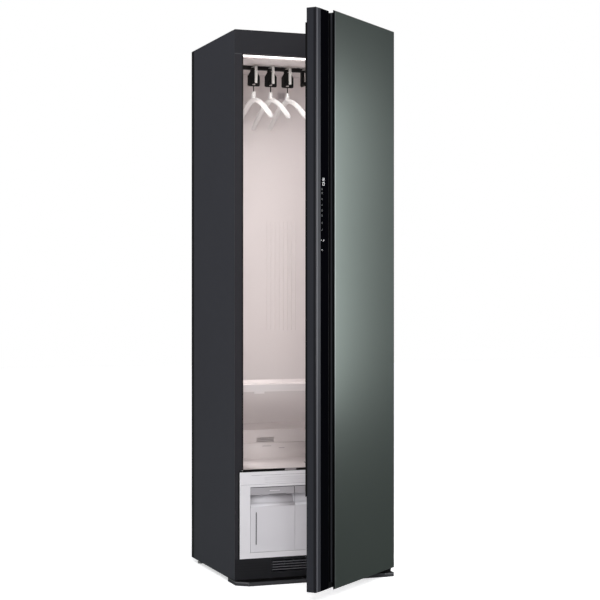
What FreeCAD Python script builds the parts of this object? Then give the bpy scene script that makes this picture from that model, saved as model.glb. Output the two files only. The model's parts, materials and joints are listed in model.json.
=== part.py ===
"""Clothes care steam cabinet: a tall one-door cabinet with a shaking hanger rail, a lift-out shelf,
two water tanks and a heat pump with a steam generator below the chamber.

Frame: millimetres, +Z up, +X to the right as one faces the door, +Y towards the back. The origin is on
the floor, mid-width, in the plane of the casing's front face. The door stands open by door_open.
"""
import FreeCAD, Part
import Sketcher
import os
from math import cos, pi, radians, sin
from types import SimpleNamespace

Vector = FreeCAD.Vector
doc = FreeCAD.newDocument("SteamCabinet")
sheet = doc.addObject("Spreadsheet::Sheet", "Sizes")

# Every size that can be set by itself, with what it measures.
DRIVING_SIZES = (
    # Casing
    ("body_width", 594, "outside width of casing and door"),
    ("body_depth", 530, "front face of the casing to its back"),
    ("body_top", 1938, "floor to the top of the casing"),
    ("stand_height", 15, "floor to the underside of the casing"),
    ("casing_sheet", 0.8, "steel sheet of sides, top and back"),
    ("frame_face", 2.5, "thickness of stiles, header and kick panel"),
    ("wall_thickness", 31, "side of the casing to the chamber wall"),
    ("back_wall", 30, "back of the casing to the chamber's back wall"),
    ("panel_flange", 14, "rear flange of each side panel"),
    ("header_height", 83, "height of the front header"),
    ("header_return", 28, "depth of the header's top and bottom returns"),
    ("insulation", 12, "foam on the outside of the liner"),
    ("vent_start", 25, "middle of the back panel to its slots"),
    ("vent_length", 200, "length of one slot in the back panel"),
    ("vent_height", 5, "height of one slot in the back panel"),
    ("vent_pitch", 16, "spacing of the slots in the back panel"),
    ("seam", 0.5, "gap between neighbouring panels"),
    # Stand and feet
    ("stand_reach", 32, "stand in front of the casing"),
    ("stand_back", 88, "stand behind the casing's front face"),
    ("stand_cap", 44, "length of each end cap"),
    ("stand_inset", 3, "end cap inside the casing's side"),
    ("foot_radius", 10, "rear foot"),
    ("foot_stem", 7, "stem of the rear foot"),
    ("foot_inset", 17, "rear foot's axis from the casing's side"),
    ("foot_setback", 60, "rear foot's axis from the casing's back"),
    # Chamber
    ("liner_wall", 3, "moulded wall of the chamber liner"),
    ("floor_top", 401, "floor to the chamber's own floor"),
    ("ceiling_step", 5, "chamber ceiling above the header's lower edge"),
    ("duct_depth", 120, "depth of the raised duct at the chamber's back"),
    ("duct_height", 104, "height of the duct's front above the chamber floor"),
    ("duct_slope", 15, "rise of the duct's top towards the back wall"),
    ("grille_width", 70, "steam grille in the duct's front"),
    ("grille_height", 22, "steam grille in the duct's front"),
    ("grille_rise", 52, "steam grille's lower edge above the chamber floor"),
    ("grille_middle", -52, "steam grille's middle, across"),
    ("sensor_size", 28, "air sensor cover, square"),
    ("sensor_depth", 7, "air sensor cover in front of the wall"),
    ("sensor_across", 54, "air sensor cover's middle, across"),
    ("sensor_drop", 79, "air sensor cover's middle below the ceiling"),
    ("lamp_front", 30, "lamp's front edge behind the casing's front"),
    ("lamp_depth", 60, "lamp lens, front to back"),
    ("lamp_length", 500, "lamp lens, across"),
    ("lamp_flange", 4, "lamp lens resting on the ceiling round its window"),
    # Shaking hanger rail
    ("rail_setback", 270, "rail's axis behind the casing's front"),
    ("rail_park", -10, "where the rail's middle is parked, across"),
    ("rail_length", 450, "length of the rail"),
    ("rail_width", 16, "rail, front to back"),
    ("rail_height", 14, "rail, top to bottom"),
    ("rail_drop", 4, "rail's top below the ceiling"),
    ("rail_stroke", 20, "crank throw, so the rail moves this far each way"),
    ("guide_span", 380, "distance between the middles of the two rail guides"),
    ("guide_width", 18, "one rail guide, across"),
    ("guide_wall", 5, "wall of a rail guide"),
    ("slide_clearance", 0.3, "gap round the rail in its guides"),
    ("cover_thickness", 3, "drive cover under the ceiling"),
    ("cover_front", 92, "drive cover's front edge behind the casing's front"),
    ("holder_pitch", 66, "spacing of the hanger holders"),
    ("holder_width", 12, "holder, across"),
    ("holder_drop", 54, "rail's underside to the holder's lowest point"),
    ("holder_post", 12, "holder's post, front to back"),
    ("holder_reach", 24, "holder's open foot in front of its post"),
    ("holder_lip", 5, "thickness of the upturned lip at the foot's end"),
    ("holder_tip", 3, "lip above the round foot"),
    ("gate_gap", 17, "gate in front of the holder's lip"),
    ("gate_thickness", 2, "spring gate leaf"),
    ("gate_width", 10, "spring gate, across"),
    ("crank_radius", 28, "crank disc"),
    ("crank_thickness", 5, "crank disc"),
    ("crank_pin_radius", 4, "crank pin"),
    ("yoke_thickness", 5, "slotted yoke on the rail"),
    ("yoke_rim", 6, "rim round the yoke's slot"),
    ("drive_clearance", 2, "free space round the moving drive parts"),
    ("motor_radius", 25, "hanger drive motor"),
    ("motor_height", 36, "hanger drive motor"),
    # Hangers
    ("ring_width", 46, "hanger ring, across"),
    ("ring_height", 56, "hanger ring, top to bottom"),
    ("ring_thickness", 5, "hanger ring, front to back"),
    ("ring_clearance", 0.3, "gap round the holder's foot in the ring's window"),
    ("ring_slack", 4.5, "window below the holder's foot, to lift the ring over the lip"),
    ("ring_rim", 4.5, "ring below its window"),
    ("hook_wire", 2, "radius of the hanger's wire stem"),
    ("stem_length", 20, "wire between ring and neck"),
    ("neck_radius", 11, "hanger neck"),
    ("neck_height", 30, "hanger neck"),
    ("crown_drop", 18, "top of the neck to the middle of the shoulders"),
    ("hanger_reach", 205, "half the hanger's length"),
    ("hanger_fall", 88, "fall of the shoulder from neck to end"),
    ("hanger_depth", 24, "height of the shoulder's section"),
    ("hanger_thickness", 14, "hanger body, across"),
    # Shelf
    ("shelf_front", 24, "shelf's front edge behind the casing's front"),
    ("shelf_depth", 316, "shelf, front to back"),
    ("shelf_height", 672, "floor to the shelf's underside"),
    ("shelf_rim", 24, "height of the shelf's rim"),
    ("shelf_wall", 3, "wall of the shelf"),
    ("shelf_clearance", 4, "gap between shelf and chamber wall"),
    ("support_width", 12, "shelf support, across"),
    ("support_height", 8, "shelf support, top to bottom"),
    ("tab_width", 37, "finger tab under the shelf's front edge"),
    ("tab_drop", 7, "finger tab below the shelf"),
    ("tab_across", -198, "finger tab's middle, across"),
    # Lint filter
    ("filter_width", 200, "lint filter, across"),
    ("filter_depth", 100, "lint filter, front to back"),
    ("filter_front", 60, "lint filter's front edge behind the casing's front"),
    ("filter_left", 20, "lint filter's left edge, across"),
    ("filter_flange", 6, "flange round the filter basket"),
    ("basket_drop", 34, "filter basket below the chamber floor"),
    # Water tanks and their module
    ("module_top", 393, "floor to the top of the white module"),
    ("module_bottom", 91, "floor to the module's lower edge"),
    ("module_inset", 18, "casing's side to the module's edge"),
    ("module_plate", 4.5, "thickness of the module's front and of its grille"),
    ("strip_height", 44, "height of the module's top grille"),
    ("slot_pitch", 8.4, "spacing of the top grille's slots"),
    ("slot_rise", 13, "top grille's lower edge to its middle slot"),
    ("slot_height", 3, "height of one slot in the top grille"),
    ("slot_length", 374, "length of one slot in the top grille"),
    ("bay_inset", 39, "module's left edge to the tank bay"),
    ("bay_bottom", 111, "floor to the tank bay's floor"),
    ("bay_height", 229, "inside height of the tank bay"),
    ("machine_depth", 327, "depth kept for the machinery behind the tank bay"),
    ("bay_wall", 2, "wall of the tank bay"),
    ("tank_width", 165, "one tank, across"),
    ("tank_gap", 1, "gap round a tank"),
    ("tank_height", 214, "tank body without its lid"),
    ("tank_backroom", 15, "free space behind the tanks"),
    ("tank_wall", 2.5, "wall of a tank"),
    ("tank_proud", 2, "tanks in front of the module"),
    ("lip_height", 158, "tank's underside to the lip of its hand grip"),
    ("lip_round", 11, "rounding of the grip's lip"),
    ("scoop_run", 20, "front of the casing to the foot of the grip's slope"),
    ("scoop_rise", 13, "lip to the foot of the grip's slope"),
    ("scoop_top", 36, "lip to the upright back of the grip"),
    ("grip_depth", 30, "hand grip, front to back"),
    ("lid_height", 12, "tank lid"),
    ("lid_setback", 2.5, "lid's front edge behind the casing's front"),
    ("lid_drop", 14, "lid's front edge below the tank's top"),
    ("latch_width", 62, "raised bar on the tank lid, across"),
    ("latch_height", 17, "raised bar on the tank lid, up its front edge"),
    ("latch_proud", 1.2, "raised bar in front of the lid"),
    ("latch_offset", 19, "raised bar beside the tank's middle, away from its level slot"),
    ("level_slot", 5.5, "width of the water level slot"),
    ("level_height", 116, "height of the water level slot"),
    ("level_inset", 20, "water level slot from the tank's outer side"),
    # Kick panel
    ("kick_gap", 3, "kick panel above the stand"),
    ("louvre_length", 316, "length of one louvre slot"),
    ("louvre_height", 4.5, "height of one louvre slot"),
    ("louvre_pitch", 9, "spacing of the louvre slots"),
    ("louvre_rise", 40.5, "floor to the lowest louvre slot"),
    # Machine bay
    ("pan_floor", 1.5, "floor of the base pan"),
    ("pan_rim", 25, "rim of the base pan"),
    ("bay_clearance", 20, "free space behind the tank bay and between the two coils"),
    ("compressor_radius", 56, "compressor shell"),
    ("compressor_height", 115, "compressor shell, up to its dome"),
    ("compressor_inset", 45, "module's edge to the compressor shell"),
    ("compressor_setback", 60, "tank bay to the compressor shell"),
    ("foot_plate", 3, "compressor's foot plate"),
    ("mount_height", 30, "rubber mount of the compressor"),
    ("mount_radius", 9, "rubber mount of the compressor"),
    ("coil_width", 210, "each heat exchanger, across"),
    ("coil_height", 220, "each heat exchanger, top to bottom"),
    ("coil_depth", 55, "each heat exchanger, front to back"),
    ("coil_plate", 2, "end plates and fins of a heat exchanger"),
    ("fin_inset", 5, "fins inside the edge of their end plates"),
    ("fin_pitch", 12, "spacing of the fins"),
    ("pipe_radius", 4, "refrigerant pipe"),
    ("pipe_rise", 25, "refrigerant pipes above the compressor"),
    ("fan_radius", 70, "circulation fan wheel"),
    ("fan_width", 56, "circulation fan wheel, along its axis"),
    ("fan_clearance", 6, "fan wheel to its housing"),
    ("fan_gap", 30, "condenser to the fan's housing"),
    ("fan_drop", 136, "underside of the chamber floor to the fan's axis"),
    ("fan_inset", 124, "module's edge to the fan's axis"),
    ("fan_inlet", 49, "radius of the fan's air inlet"),
    ("outlet_reach", 42, "half the width of the fan's air outlet"),
    ("blade_thickness", 2, "fan blade"),
    ("wheel_plate", 2.5, "back plate and front ring of the fan wheel"),
    ("wheel_hub", 12, "hub of the fan wheel"),
    ("blade_chord", 14, "width of a fan blade"),
    ("housing_wall", 2.5, "fan housing"),
    ("fan_motor_radius", 28, "fan motor"),
    ("fan_motor_length", 30, "fan motor"),
    ("shaft_radius", 4, "fan and crank shafts"),
    ("running_fit", 0.05, "radial clearance of a shaft or pin in its bore"),
    ("steamer_width", 100, "steam generator, across"),
    ("steamer_depth", 150, "steam generator, front to back"),
    ("steamer_height", 80, "steam generator's boiler, top to bottom"),
    ("steamer_lid", 9, "steam generator's lid"),
    ("steamer_rim", 4, "lid beyond the boiler"),
    ("steamer_left", -15, "steam generator's left side, across"),
    ("steamer_setback", 125, "tank bay to the steam generator"),
    ("nozzle_radius", 8, "steam nozzle"),
    ("nozzle_height", 12, "steam nozzle above the lid"),
    ("pump_radius", 20, "water pump"),
    ("pump_height", 55, "water pump"),
    ("pump_setback", 60, "tank bay to the pump's axis"),
    ("pump_outlet", 30, "base pan to the pump's outlet"),
    ("pump_stub", 30, "pump's axis to the end of its outlet"),
    ("hose_radius", 5, "water hose"),
    ("hose_rise", 40, "tank bay's floor to the supply hose"),
    ("box_width", 180, "control box, across"),
    ("box_height", 55, "control box, top to bottom"),
    ("box_depth", 55, "control box, front to back"),
    ("box_inset", 10, "control box inside the module's edge and below the chamber"),
    ("box_round", 3, "rounded edges of the control box"),
    ("gland_radius", 9, "mains cord gland"),
    ("gland_bore", 4.5, "bore of the gland"),
    ("gland_flange", 13, "flange of the gland, inside the back panel"),
    ("gland_depth", 6, "gland inside the back panel"),
    ("gland_inset", 60, "casing's side to the gland"),
    ("gland_rise", 70, "floor to the gland"),
    # Door
    ("door_open", 41, "angle of the open door, in degrees"),
    ("door_gap", 5, "door's back to the casing's front"),
    ("door_thickness", 36, "door frame, front to back"),
    ("door_bottom", 40, "floor to the door frame"),
    ("door_rise", 14, "door frame above the casing's top"),
    ("door_wall", 4, "side walls of the door frame"),
    ("door_skin", 5, "front skin of the door frame"),
    ("bevel_width", 25, "sloping edge along the door's free side"),
    ("bevel_drop", 2.5, "how far that edge falls back"),
    ("strip_inset", 30, "door's free side to the control strip"),
    ("strip_width", 57, "glass control strip"),
    ("strip_glass", 3, "thickness of the control strip"),
    ("groove_width", 32, "handle groove, across"),
    ("groove_depth", 24, "handle groove, front to back"),
    ("channel_wall", 1.5, "lining of the handle groove"),
    ("glass_thickness", 4, "glass front panel"),
    ("glass_overhang", 8, "glass above and below the door frame"),
    ("glass_hinge_inset", 2, "glass inside the door's hinge side"),
    ("glass_bevel", 1.2, "bevel round the glass"),
    ("door_liner_sheet", 3, "moulded back of the door"),
    ("bulge_inset", 57, "casing's side to the door liner's raised middle"),
    ("bulge_depth", 12, "raised middle of the door liner into the chamber"),
    ("bulge_bottom", 430, "floor to the door liner's raised middle"),
    ("bulge_drop", 103, "casing's top to the top of the raised middle"),
    ("gasket_width", 14, "magnetic gasket, across its section"),
    ("gasket_gap", 0.4, "gasket to the casing when the door is shut"),
    ("gasket_inset", 3, "door's free side to the gasket"),
    ("gasket_bottom", 352, "floor to the gasket"),
    ("gasket_drop", 34, "casing's top to the top of the gasket"),
    ("display_bottom", 1150, "floor to the display board"),
    ("display_height", 280, "display board"),
    # Hinges
    ("hinge_inset", 26, "casing's side to the hinge axis"),
    ("hinge_forward", 32, "hinge axis in front of the casing"),
    ("heel_chamfer", 11, "door's rear edge cut back at the hinge side"),
    ("pin_radius", 4, "hinge pin"),
    ("pin_length", 24, "hinge pin below or above its plate"),
    ("bush_radius", 8, "hinge bush"),
    ("bush_length", 20, "hinge bush"),
    ("plate_thickness", 5, "hinge plate"),
    ("plate_nose", 8, "radius of the hinge plate round its pin"),
    ("plate_arm", 26, "width of the hinge plate's arm"),
    ("arm_offset", 7, "arm's near edge from the hinge axis"),
    ("plate_back", 60, "hinge plate behind the casing's front"),
    ("notch_depth", 20, "pocket in the door's top for the hinge plate"),
    ("notch_reach", 37, "that pocket from the hinge axis towards the free side"),
    ("lower_plate_drop", 18, "lower hinge plate's underside below the door frame"),
    ("lower_foot_gap", 2, "lower hinge's fixing flange below the door frame"),
    ("screw_radius", 2.5, "screw holes of the upper hinge"),
    ("screw_first", 18, "casing's front to the first screw hole"),
    ("screw_second", 45, "casing's front to the second screw hole"),
    # Trouser press inside the door
    ("press_width", 300, "press board, across"),
    ("press_bottom", 720, "floor to the press board"),
    ("press_height", 780, "press board"),
    ("press_board", 8, "thickness of the press board"),
    ("press_cover", 11, "thickness of the press cover"),
    ("press_gap", 1, "press board to its cover"),
    ("barrel_radius", 5.5, "hinge barrel of the press cover"),
    ("press_pin", 3, "radius of the press cover's hinge pins"),
    ("lug_height", 14, "hinge lug of the press board"),
    ("finger_width", 8, "finger rim on the press cover's free edge"),
    ("finger_height", 260, "finger rim, top to bottom"),
)
HOLDERS = 5
HANGERS = 3
VENT_ROWS = 9
LOUVRES = 5
GRILLE_BARS = 4
COIL_ROWS = 4
FAN_BLADES = 20
BLADE_LEAN = 25     # degrees forwards of the radius
SHOULDER_STEPS = 6


class Size:
    """A length that carries its spreadsheet formula and its present value through the same sum."""

    def __init__(self, formula, value):
        self.formula = formula
        self.value = float(value)

    def __float__(self):
        return self.value

    def __add__(self, other):
        return combined(self, "+", other, self.value + float(other))

    def __radd__(self, other):
        return combined(other, "+", self, float(other) + self.value)

    def __sub__(self, other):
        return combined(self, "-", other, self.value - float(other))

    def __rsub__(self, other):
        return combined(other, "-", self, float(other) - self.value)

    def __mul__(self, other):
        return combined(self, "*", other, self.value * float(other))

    __rmul__ = __mul__

    def __truediv__(self, other):
        return combined(self, "/", other, self.value / float(other))

    def __neg__(self):
        return combined(0, "-", self, -self.value)


def formula_of(value):
    return value.formula if isinstance(value, Size) else f"({float(value)!r})"


def combined(left, sign, right, value):
    return Size(f"({formula_of(left)} {sign} {formula_of(right)})", value)


def fill_sheet():
    """Write the driving sizes into the sheet and return them by name."""
    sizes = {}
    for row, (alias, number, meaning) in enumerate(DRIVING_SIZES, start=1):
        sheet.set(f"A{row}", alias)
        sheet.set(f"B{row}", str(number))
        sheet.set(f"C{row}", meaning)
        sheet.setAlias(f"B{row}", alias)
        sizes[alias] = Size(f"Sizes.{alias}", number)
    doc.recompute()
    return SimpleNamespace(**sizes)


s = fill_sheet()
nodes = []


# Places that several pieces share
half = s.body_width / 2
chamber_half = half - s.wall_thickness
liner_half = chamber_half + s.liner_wall
header_bottom = s.body_top - s.header_height
ceiling = header_bottom + s.ceiling_step
chamber_back = s.body_depth - s.back_wall
module_half = half - s.module_inset
strip_bottom = s.module_top - s.strip_height
bay_left = s.bay_inset - module_half
bay_right = bay_left + 2 * s.tank_width + s.tank_gap
rail_top = ceiling - s.rail_drop
rail_bottom = rail_top - s.rail_height
yoke_bottom = ceiling + s.liner_wall + s.drive_clearance
crank_bottom = yoke_bottom + s.yoke_thickness + s.drive_clearance
motor_bottom = crank_bottom + s.crank_thickness + 2 * s.drive_clearance
saddle_radius = s.holder_width / 2
saddle_height = rail_bottom - s.holder_drop + saddle_radius
bay_depth = s.body_depth - s.machine_depth
ring_middle = s.rail_setback - s.holder_post / 2 - s.holder_reach / 2
pan_top = s.stand_height + s.pan_floor
bay_back = bay_depth + s.bay_wall
first_coil = bay_back + s.bay_clearance
second_coil = first_coil + s.coil_depth + s.bay_clearance
fan_front = second_coil + s.coil_depth + s.fan_gap
fan_across = s.fan_inset - module_half
fan_height = s.floor_top - s.liner_wall - s.fan_drop
wheel_front = fan_front + s.housing_wall + s.fan_clearance / 2
hinge_x = half - s.hinge_inset
hinge_y = -s.hinge_forward
door_back = -s.door_gap
door_front = door_back - s.door_thickness
door_top = s.body_top + s.door_rise
bulge_top = s.body_top - s.bulge_drop
gasket_top = s.body_top - s.gasket_drop
notch_floor = door_top - s.notch_depth
glass_left = s.strip_inset + s.strip_width + s.groove_width - half
press_left = -s.press_width / 2
press_face = s.bulge_depth
press_axis_x = s.press_width / 2 + s.barrel_radius + s.press_gap
press_axis_y = press_face + s.press_board + s.press_gap + s.barrel_radius


# Building blocks of the document
def bind(thing, path, value):
    """Tie one property to the sheet."""
    thing.setExpression(path, formula_of(value))


def block(name, x, y, z):
    """A plain block between two places on each axis."""
    box = doc.addObject("Part::Box", name)
    for side, axis, (low, high) in (("Length", "x", x), ("Width", "y", y), ("Height", "z", z)):
        bind(box, side, high - low)
        bind(box, f"Placement.Base.{axis}", low)
    return box


def beside(side, first, second):
    """The span between two distances from the middle plane, to the left (-1) or to the right (1)."""
    return tuple(sorted((side * first, side * second), key=float))


def rod(name, radius, centre, low, high, axis="z"):
    """A cylinder along one axis, centred on two places across it."""
    cylinder = doc.addObject("Part::Cylinder", name)
    bind(cylinder, "Radius", radius)
    bind(cylinder, "Height", high - low)
    turns = {"z": (Vector(0, 0, 1), 0), "y": (Vector(1, 0, 0), -90), "x": (Vector(0, 1, 0), 90)}
    cylinder.Placement = FreeCAD.Placement(Vector(), FreeCAD.Rotation(*turns[axis]))
    places = {"z": (*centre, low), "y": (centre[0], low, centre[1]), "x": (low, *centre)}[axis]
    for letter, place in zip("xyz", places):
        bind(cylinder, f"Placement.Base.{letter}", place)
    return cylinder


def compound(name, parts):
    group = doc.addObject("Part::Compound", name)
    group.Links = list(parts)
    return group


def cut(name, base, *tools):
    result = doc.addObject("Part::Cut", name)
    result.Base = base
    result.Tool = tools[0] if len(tools) == 1 else fuse(name + "Tools", *tools)
    return result


def fuse(name, *parts):
    result = doc.addObject("Part::MultiFuse", name)
    result.Shapes = list(parts)
    result.Refine = True
    return result


def sketch_outline(body, role, points, start):
    """A closed outline on one of the body's own planes, each corner tied to the sheet."""
    sketch = body.newObject("Sketcher::SketchObject", body.Name + "Outline")
    plane = next(item for item in body.Origin.OriginFeatures if item.Role == role)
    sketch.AttachmentSupport = [(plane, "")]
    sketch.MapMode = "FlatFace"
    bind(sketch, "AttachmentOffset.Base.z", start)
    corners = [Vector(float(across), float(up), 0) for across, up in points]
    for first, second in zip(corners, corners[1:] + corners[:1]):
        sketch.addGeometry(Part.LineSegment(first, second))
    count = len(corners)
    for index in range(count):
        sketch.addConstraint(Sketcher.Constraint("Coincident", index, 2, (index + 1) % count, 1))
    for index, corner in enumerate(points):
        for kind, place in zip(("DistanceX", "DistanceY"), corner):
            number = sketch.addConstraint(Sketcher.Constraint(kind, -1, 1, index, 1, float(place)))
            label = f"{kind[-1].lower()}{index}"
            sketch.renameConstraint(number, label)
            bind(sketch, f"Constraints.{label}", place)
    return sketch


def profile(name, role, points, low, high):
    """A PartDesign body: an outline on XY, XZ or YZ, padded from low to high along the third axis."""
    body = doc.addObject("PartDesign::Body", name)
    start = -high if role == "XZ_Plane" else low
    pad = body.newObject("PartDesign::Pad", body.Name + "Pad")
    pad.Profile = sketch_outline(body, role, points, start)
    bind(pad, "Length", high - low)
    body.Tip = pad
    return body


def edges_where(shape, test):
    return [f"Edge{number}" for number, edge in enumerate(shape.Edges, start=1) if test(edge)]


def dress(body, kind, value, test):
    """Round or bevel the edges of a body's last feature that pass a test."""
    doc.recompute()
    base = body.Tip
    feature = body.newObject(f"PartDesign::{kind}", body.Name + kind)
    feature.Base = (base, edges_where(base.Shape, test))
    bind(feature, "Radius" if kind == "Fillet" else "Size", value)
    body.Tip = feature
    return body


def upright(edge):
    ends = edge.Vertexes[0].Point, edge.Vertexes[-1].Point
    return abs(ends[0].x - ends[1].x) < 0.01 and abs(ends[0].y - ends[1].y) < 0.01


def rounded_block(name, x, y, z, radius, test=upright):
    """A block as a PartDesign body with some edges rounded."""
    corners = ((x[0], y[0]), (x[1], y[0]), (x[1], y[1]), (x[0], y[1]))
    return dress(profile(name, "XY_Plane", corners, *z), "Fillet", radius, test)


def keep(name, thing):
    """Make this object a sub-part of its own."""
    thing.Label = name
    nodes.append(thing)
    return thing


def on_door(name, thing):
    """A sub-part of the door: built as if the door were shut, then swung open about the hinge axis."""
    turn_cos = Size("cos(Sizes.door_open * 1 deg)", cos(radians(float(s.door_open))))
    turn_sin = Size("sin(Sizes.door_open * 1 deg)", sin(radians(float(s.door_open))))
    thing.Placement = FreeCAD.Placement(Vector(), FreeCAD.Rotation(Vector(0, 0, 1), float(s.door_open)))
    thing.setExpression("Placement.Rotation.Angle", "Sizes.door_open * 1 deg")
    bind(thing, "Placement.Base.x", hinge_x - hinge_x * turn_cos + hinge_y * turn_sin)
    bind(thing, "Placement.Base.y", hinge_y - hinge_x * turn_sin - hinge_y * turn_cos)
    return keep(name, thing)


# Casing
def front_stand():
    """The low stand: a straight middle, a square end under the hinges and a slanted one at the other side."""
    seam_x = half - s.stand_cap
    pieces = [block("StandMiddle", (-seam_x, seam_x), (-s.stand_reach, s.stand_back), (0, s.stand_height))]
    for side, nose in ((-1, 0), (1, -s.stand_reach)):
        outer = side * (half - s.stand_inset)
        inner = side * seam_x
        corners = ((inner, -s.stand_reach), (inner, s.stand_back), (outer, s.stand_back), (outer, nose))
        pieces.append(profile("StandEnd", "XY_Plane", corners, 0, s.stand_height))
    keep("front_stand", compound("FrontStand", pieces))


def rear_feet():
    """Two feet under the back of the casing: a pad with a thinner stem above it."""
    setback = s.body_depth - s.foot_setback
    feet = []
    for side in (-1, 1):
        centre = (side * (half - s.foot_inset), setback)
        pad = rod("FootPad", s.foot_radius, centre, 0, s.stand_height / 2)
        stem = rod("FootStem", s.foot_stem, centre, 0, s.stand_height)
        feet.append(fuse("Foot", pad, stem))
    keep("rear_feet", compound("RearFeet", feet))


def base_pan():
    """A shallow pressed tray that carries the machine bay."""
    width = half - s.casing_sheet
    top = s.stand_height + s.pan_rim
    outside = block("Pan", (-width, width), (s.frame_face, s.body_depth - s.casing_sheet),
                    (s.stand_height, top))
    wall = s.pan_floor
    hollow = block("PanHollow", (wall - width, width - wall),
                   (s.frame_face + wall, s.body_depth - s.casing_sheet - wall), (pan_top, top + 1))
    keep("base_pan", cut("BasePan", outside, hollow))


def side_panels():
    """Two steel sides, each with a rear flange that takes the back panel. They stand outside the base pan."""
    back = s.body_depth - s.casing_sheet
    low = s.stand_height + s.pan_rim
    panels = []
    for side in (-1, 1):
        outer = side * half
        inner = side * (half - s.casing_sheet)
        flange = side * (half - s.casing_sheet - s.panel_flange)
        corners = ((outer, s.frame_face), (outer, back), (flange, back), (flange, back - s.casing_sheet),
                   (inner, back - s.casing_sheet), (inner, s.frame_face))
        upper = profile("SideSheet", "XY_Plane", corners, low, s.body_top - s.casing_sheet)
        skirt = block("SideSkirt", beside(side, half, half - s.casing_sheet), (s.frame_face, back),
                      (s.stand_height, low))
        panels.append(fuse("SidePanel", upper, skirt))
    keep("side_panels", compound("SidePanels", panels))


def top_panel():
    y = (s.frame_face + s.header_return, s.body_depth - s.casing_sheet)
    sheet_block = block("Top", (-half, half), y, (s.body_top - s.casing_sheet, s.body_top))
    keep("top_panel", cut("TopPanel", sheet_block, screw_holes("TopScrews")))


def back_panel():
    """Flat steel back with a field of vent slots behind the machine bay."""
    sheet_y = (s.body_depth - s.casing_sheet, s.body_depth)
    plate = block("Back", (-half, half), sheet_y, (s.stand_height, s.body_top))
    slots = []
    for row in range(VENT_ROWS):
        low = s.module_bottom + row * s.vent_pitch
        for side in (-1, 1):
            across = beside(side, s.vent_start, s.vent_start + s.vent_length)
            slots.append(block("Vent", across, (sheet_y[0] - 1, sheet_y[1] + 1), (low, low + s.vent_height)))
    bore = rod("GlandHole", s.gland_radius, gland_centre(), sheet_y[0] - 1, sheet_y[1] + 1, "y")
    keep("back_panel", cut("BackPanel", plate, *slots, bore))


def header_cover():
    """The wide front header: a face with a top and a bottom return."""
    face = block("HeaderFace", (-half, half), (0, s.frame_face), (header_bottom, s.body_top))
    y = (s.frame_face, s.frame_face + s.header_return)
    width = half - s.casing_sheet
    top = block("HeaderTop", (-width, width), y, (s.body_top - s.frame_face, s.body_top))
    lip = chamber_half - s.seam
    bottom = block("HeaderBottom", (-lip, lip), y, (header_bottom, header_bottom + s.frame_face))
    shell = fuse("HeaderShell", face, top, bottom)
    keep("header_cover", cut("Header", shell, screw_holes("HeaderScrews")))


def front_stiles():
    """Front faces beside the opening, narrower where the white module reaches further out."""
    stiles = []
    for side in (-1, 1):
        outer = side * half
        corners = ((outer, s.module_bottom), (outer, header_bottom), (side * chamber_half, header_bottom),
                   (side * chamber_half, s.floor_top), (side * module_half, s.floor_top),
                   (side * module_half, s.module_bottom))
        stiles.append(profile("Stile", "XZ_Plane", corners, 0, s.frame_face))
    keep("front_stiles", compound("Stiles", stiles))


def wall_insulation():
    """Foam slabs on the outside of the liner: two sides, back and, under the casing's top, over the drive."""
    z = (s.floor_top, ceiling)
    y = (s.frame_face, chamber_back)
    slabs = [block("FoamSide", beside(side, liner_half, liner_half + s.insulation), y, z) for side in (-1, 1)]
    slabs.append(block("FoamBack", (-liner_half, liner_half),
                       (chamber_back + s.liner_wall, chamber_back + s.liner_wall + s.insulation), z))
    lid = s.body_top - s.casing_sheet
    slabs.append(block("FoamTop", (-liner_half, liner_half), (s.frame_face + s.header_return, chamber_back),
                       (lid - s.insulation, lid)))
    keep("wall_insulation", compound("Insulation", slabs))


# Chamber
def yoke_slots(name):
    """Openings in the ceiling for the two arms that carry the rail's yoke, as long as the arms travel."""
    slots = []
    for place in yoke_arm_places():
        low = place - s.yoke_rim / 2 - s.rail_stroke - s.drive_clearance
        high = place + s.yoke_rim / 2 + s.rail_stroke + s.drive_clearance
        y = (s.rail_setback - s.rail_width / 2 - s.drive_clearance,
             s.rail_setback + s.rail_width / 2 + s.drive_clearance)
        slots.append(block(name, (low, high), y, (ceiling - 1, ceiling + s.liner_wall + 1)))
    return slots


def yoke_arm_places():
    reach = 2 * s.rail_stroke + s.crank_pin_radius + s.drive_clearance + s.yoke_rim / 2
    return s.rail_park - reach, s.rail_park + reach


def filter_hole(name, low, high):
    edge = s.filter_flange - s.seam
    return block(name, (s.filter_left + edge, s.filter_left + s.filter_width - edge),
                 (s.filter_front + edge, s.filter_front + s.filter_depth - edge), (low, high))


def fan_outlet():
    """Width and depth of the air outlet that rises from the fan into the duct."""
    reach = s.outlet_reach
    return (fan_across - reach, fan_across + reach), (fan_front,
                                                      fan_front + s.fan_width + 2 * s.fan_clearance)


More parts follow.
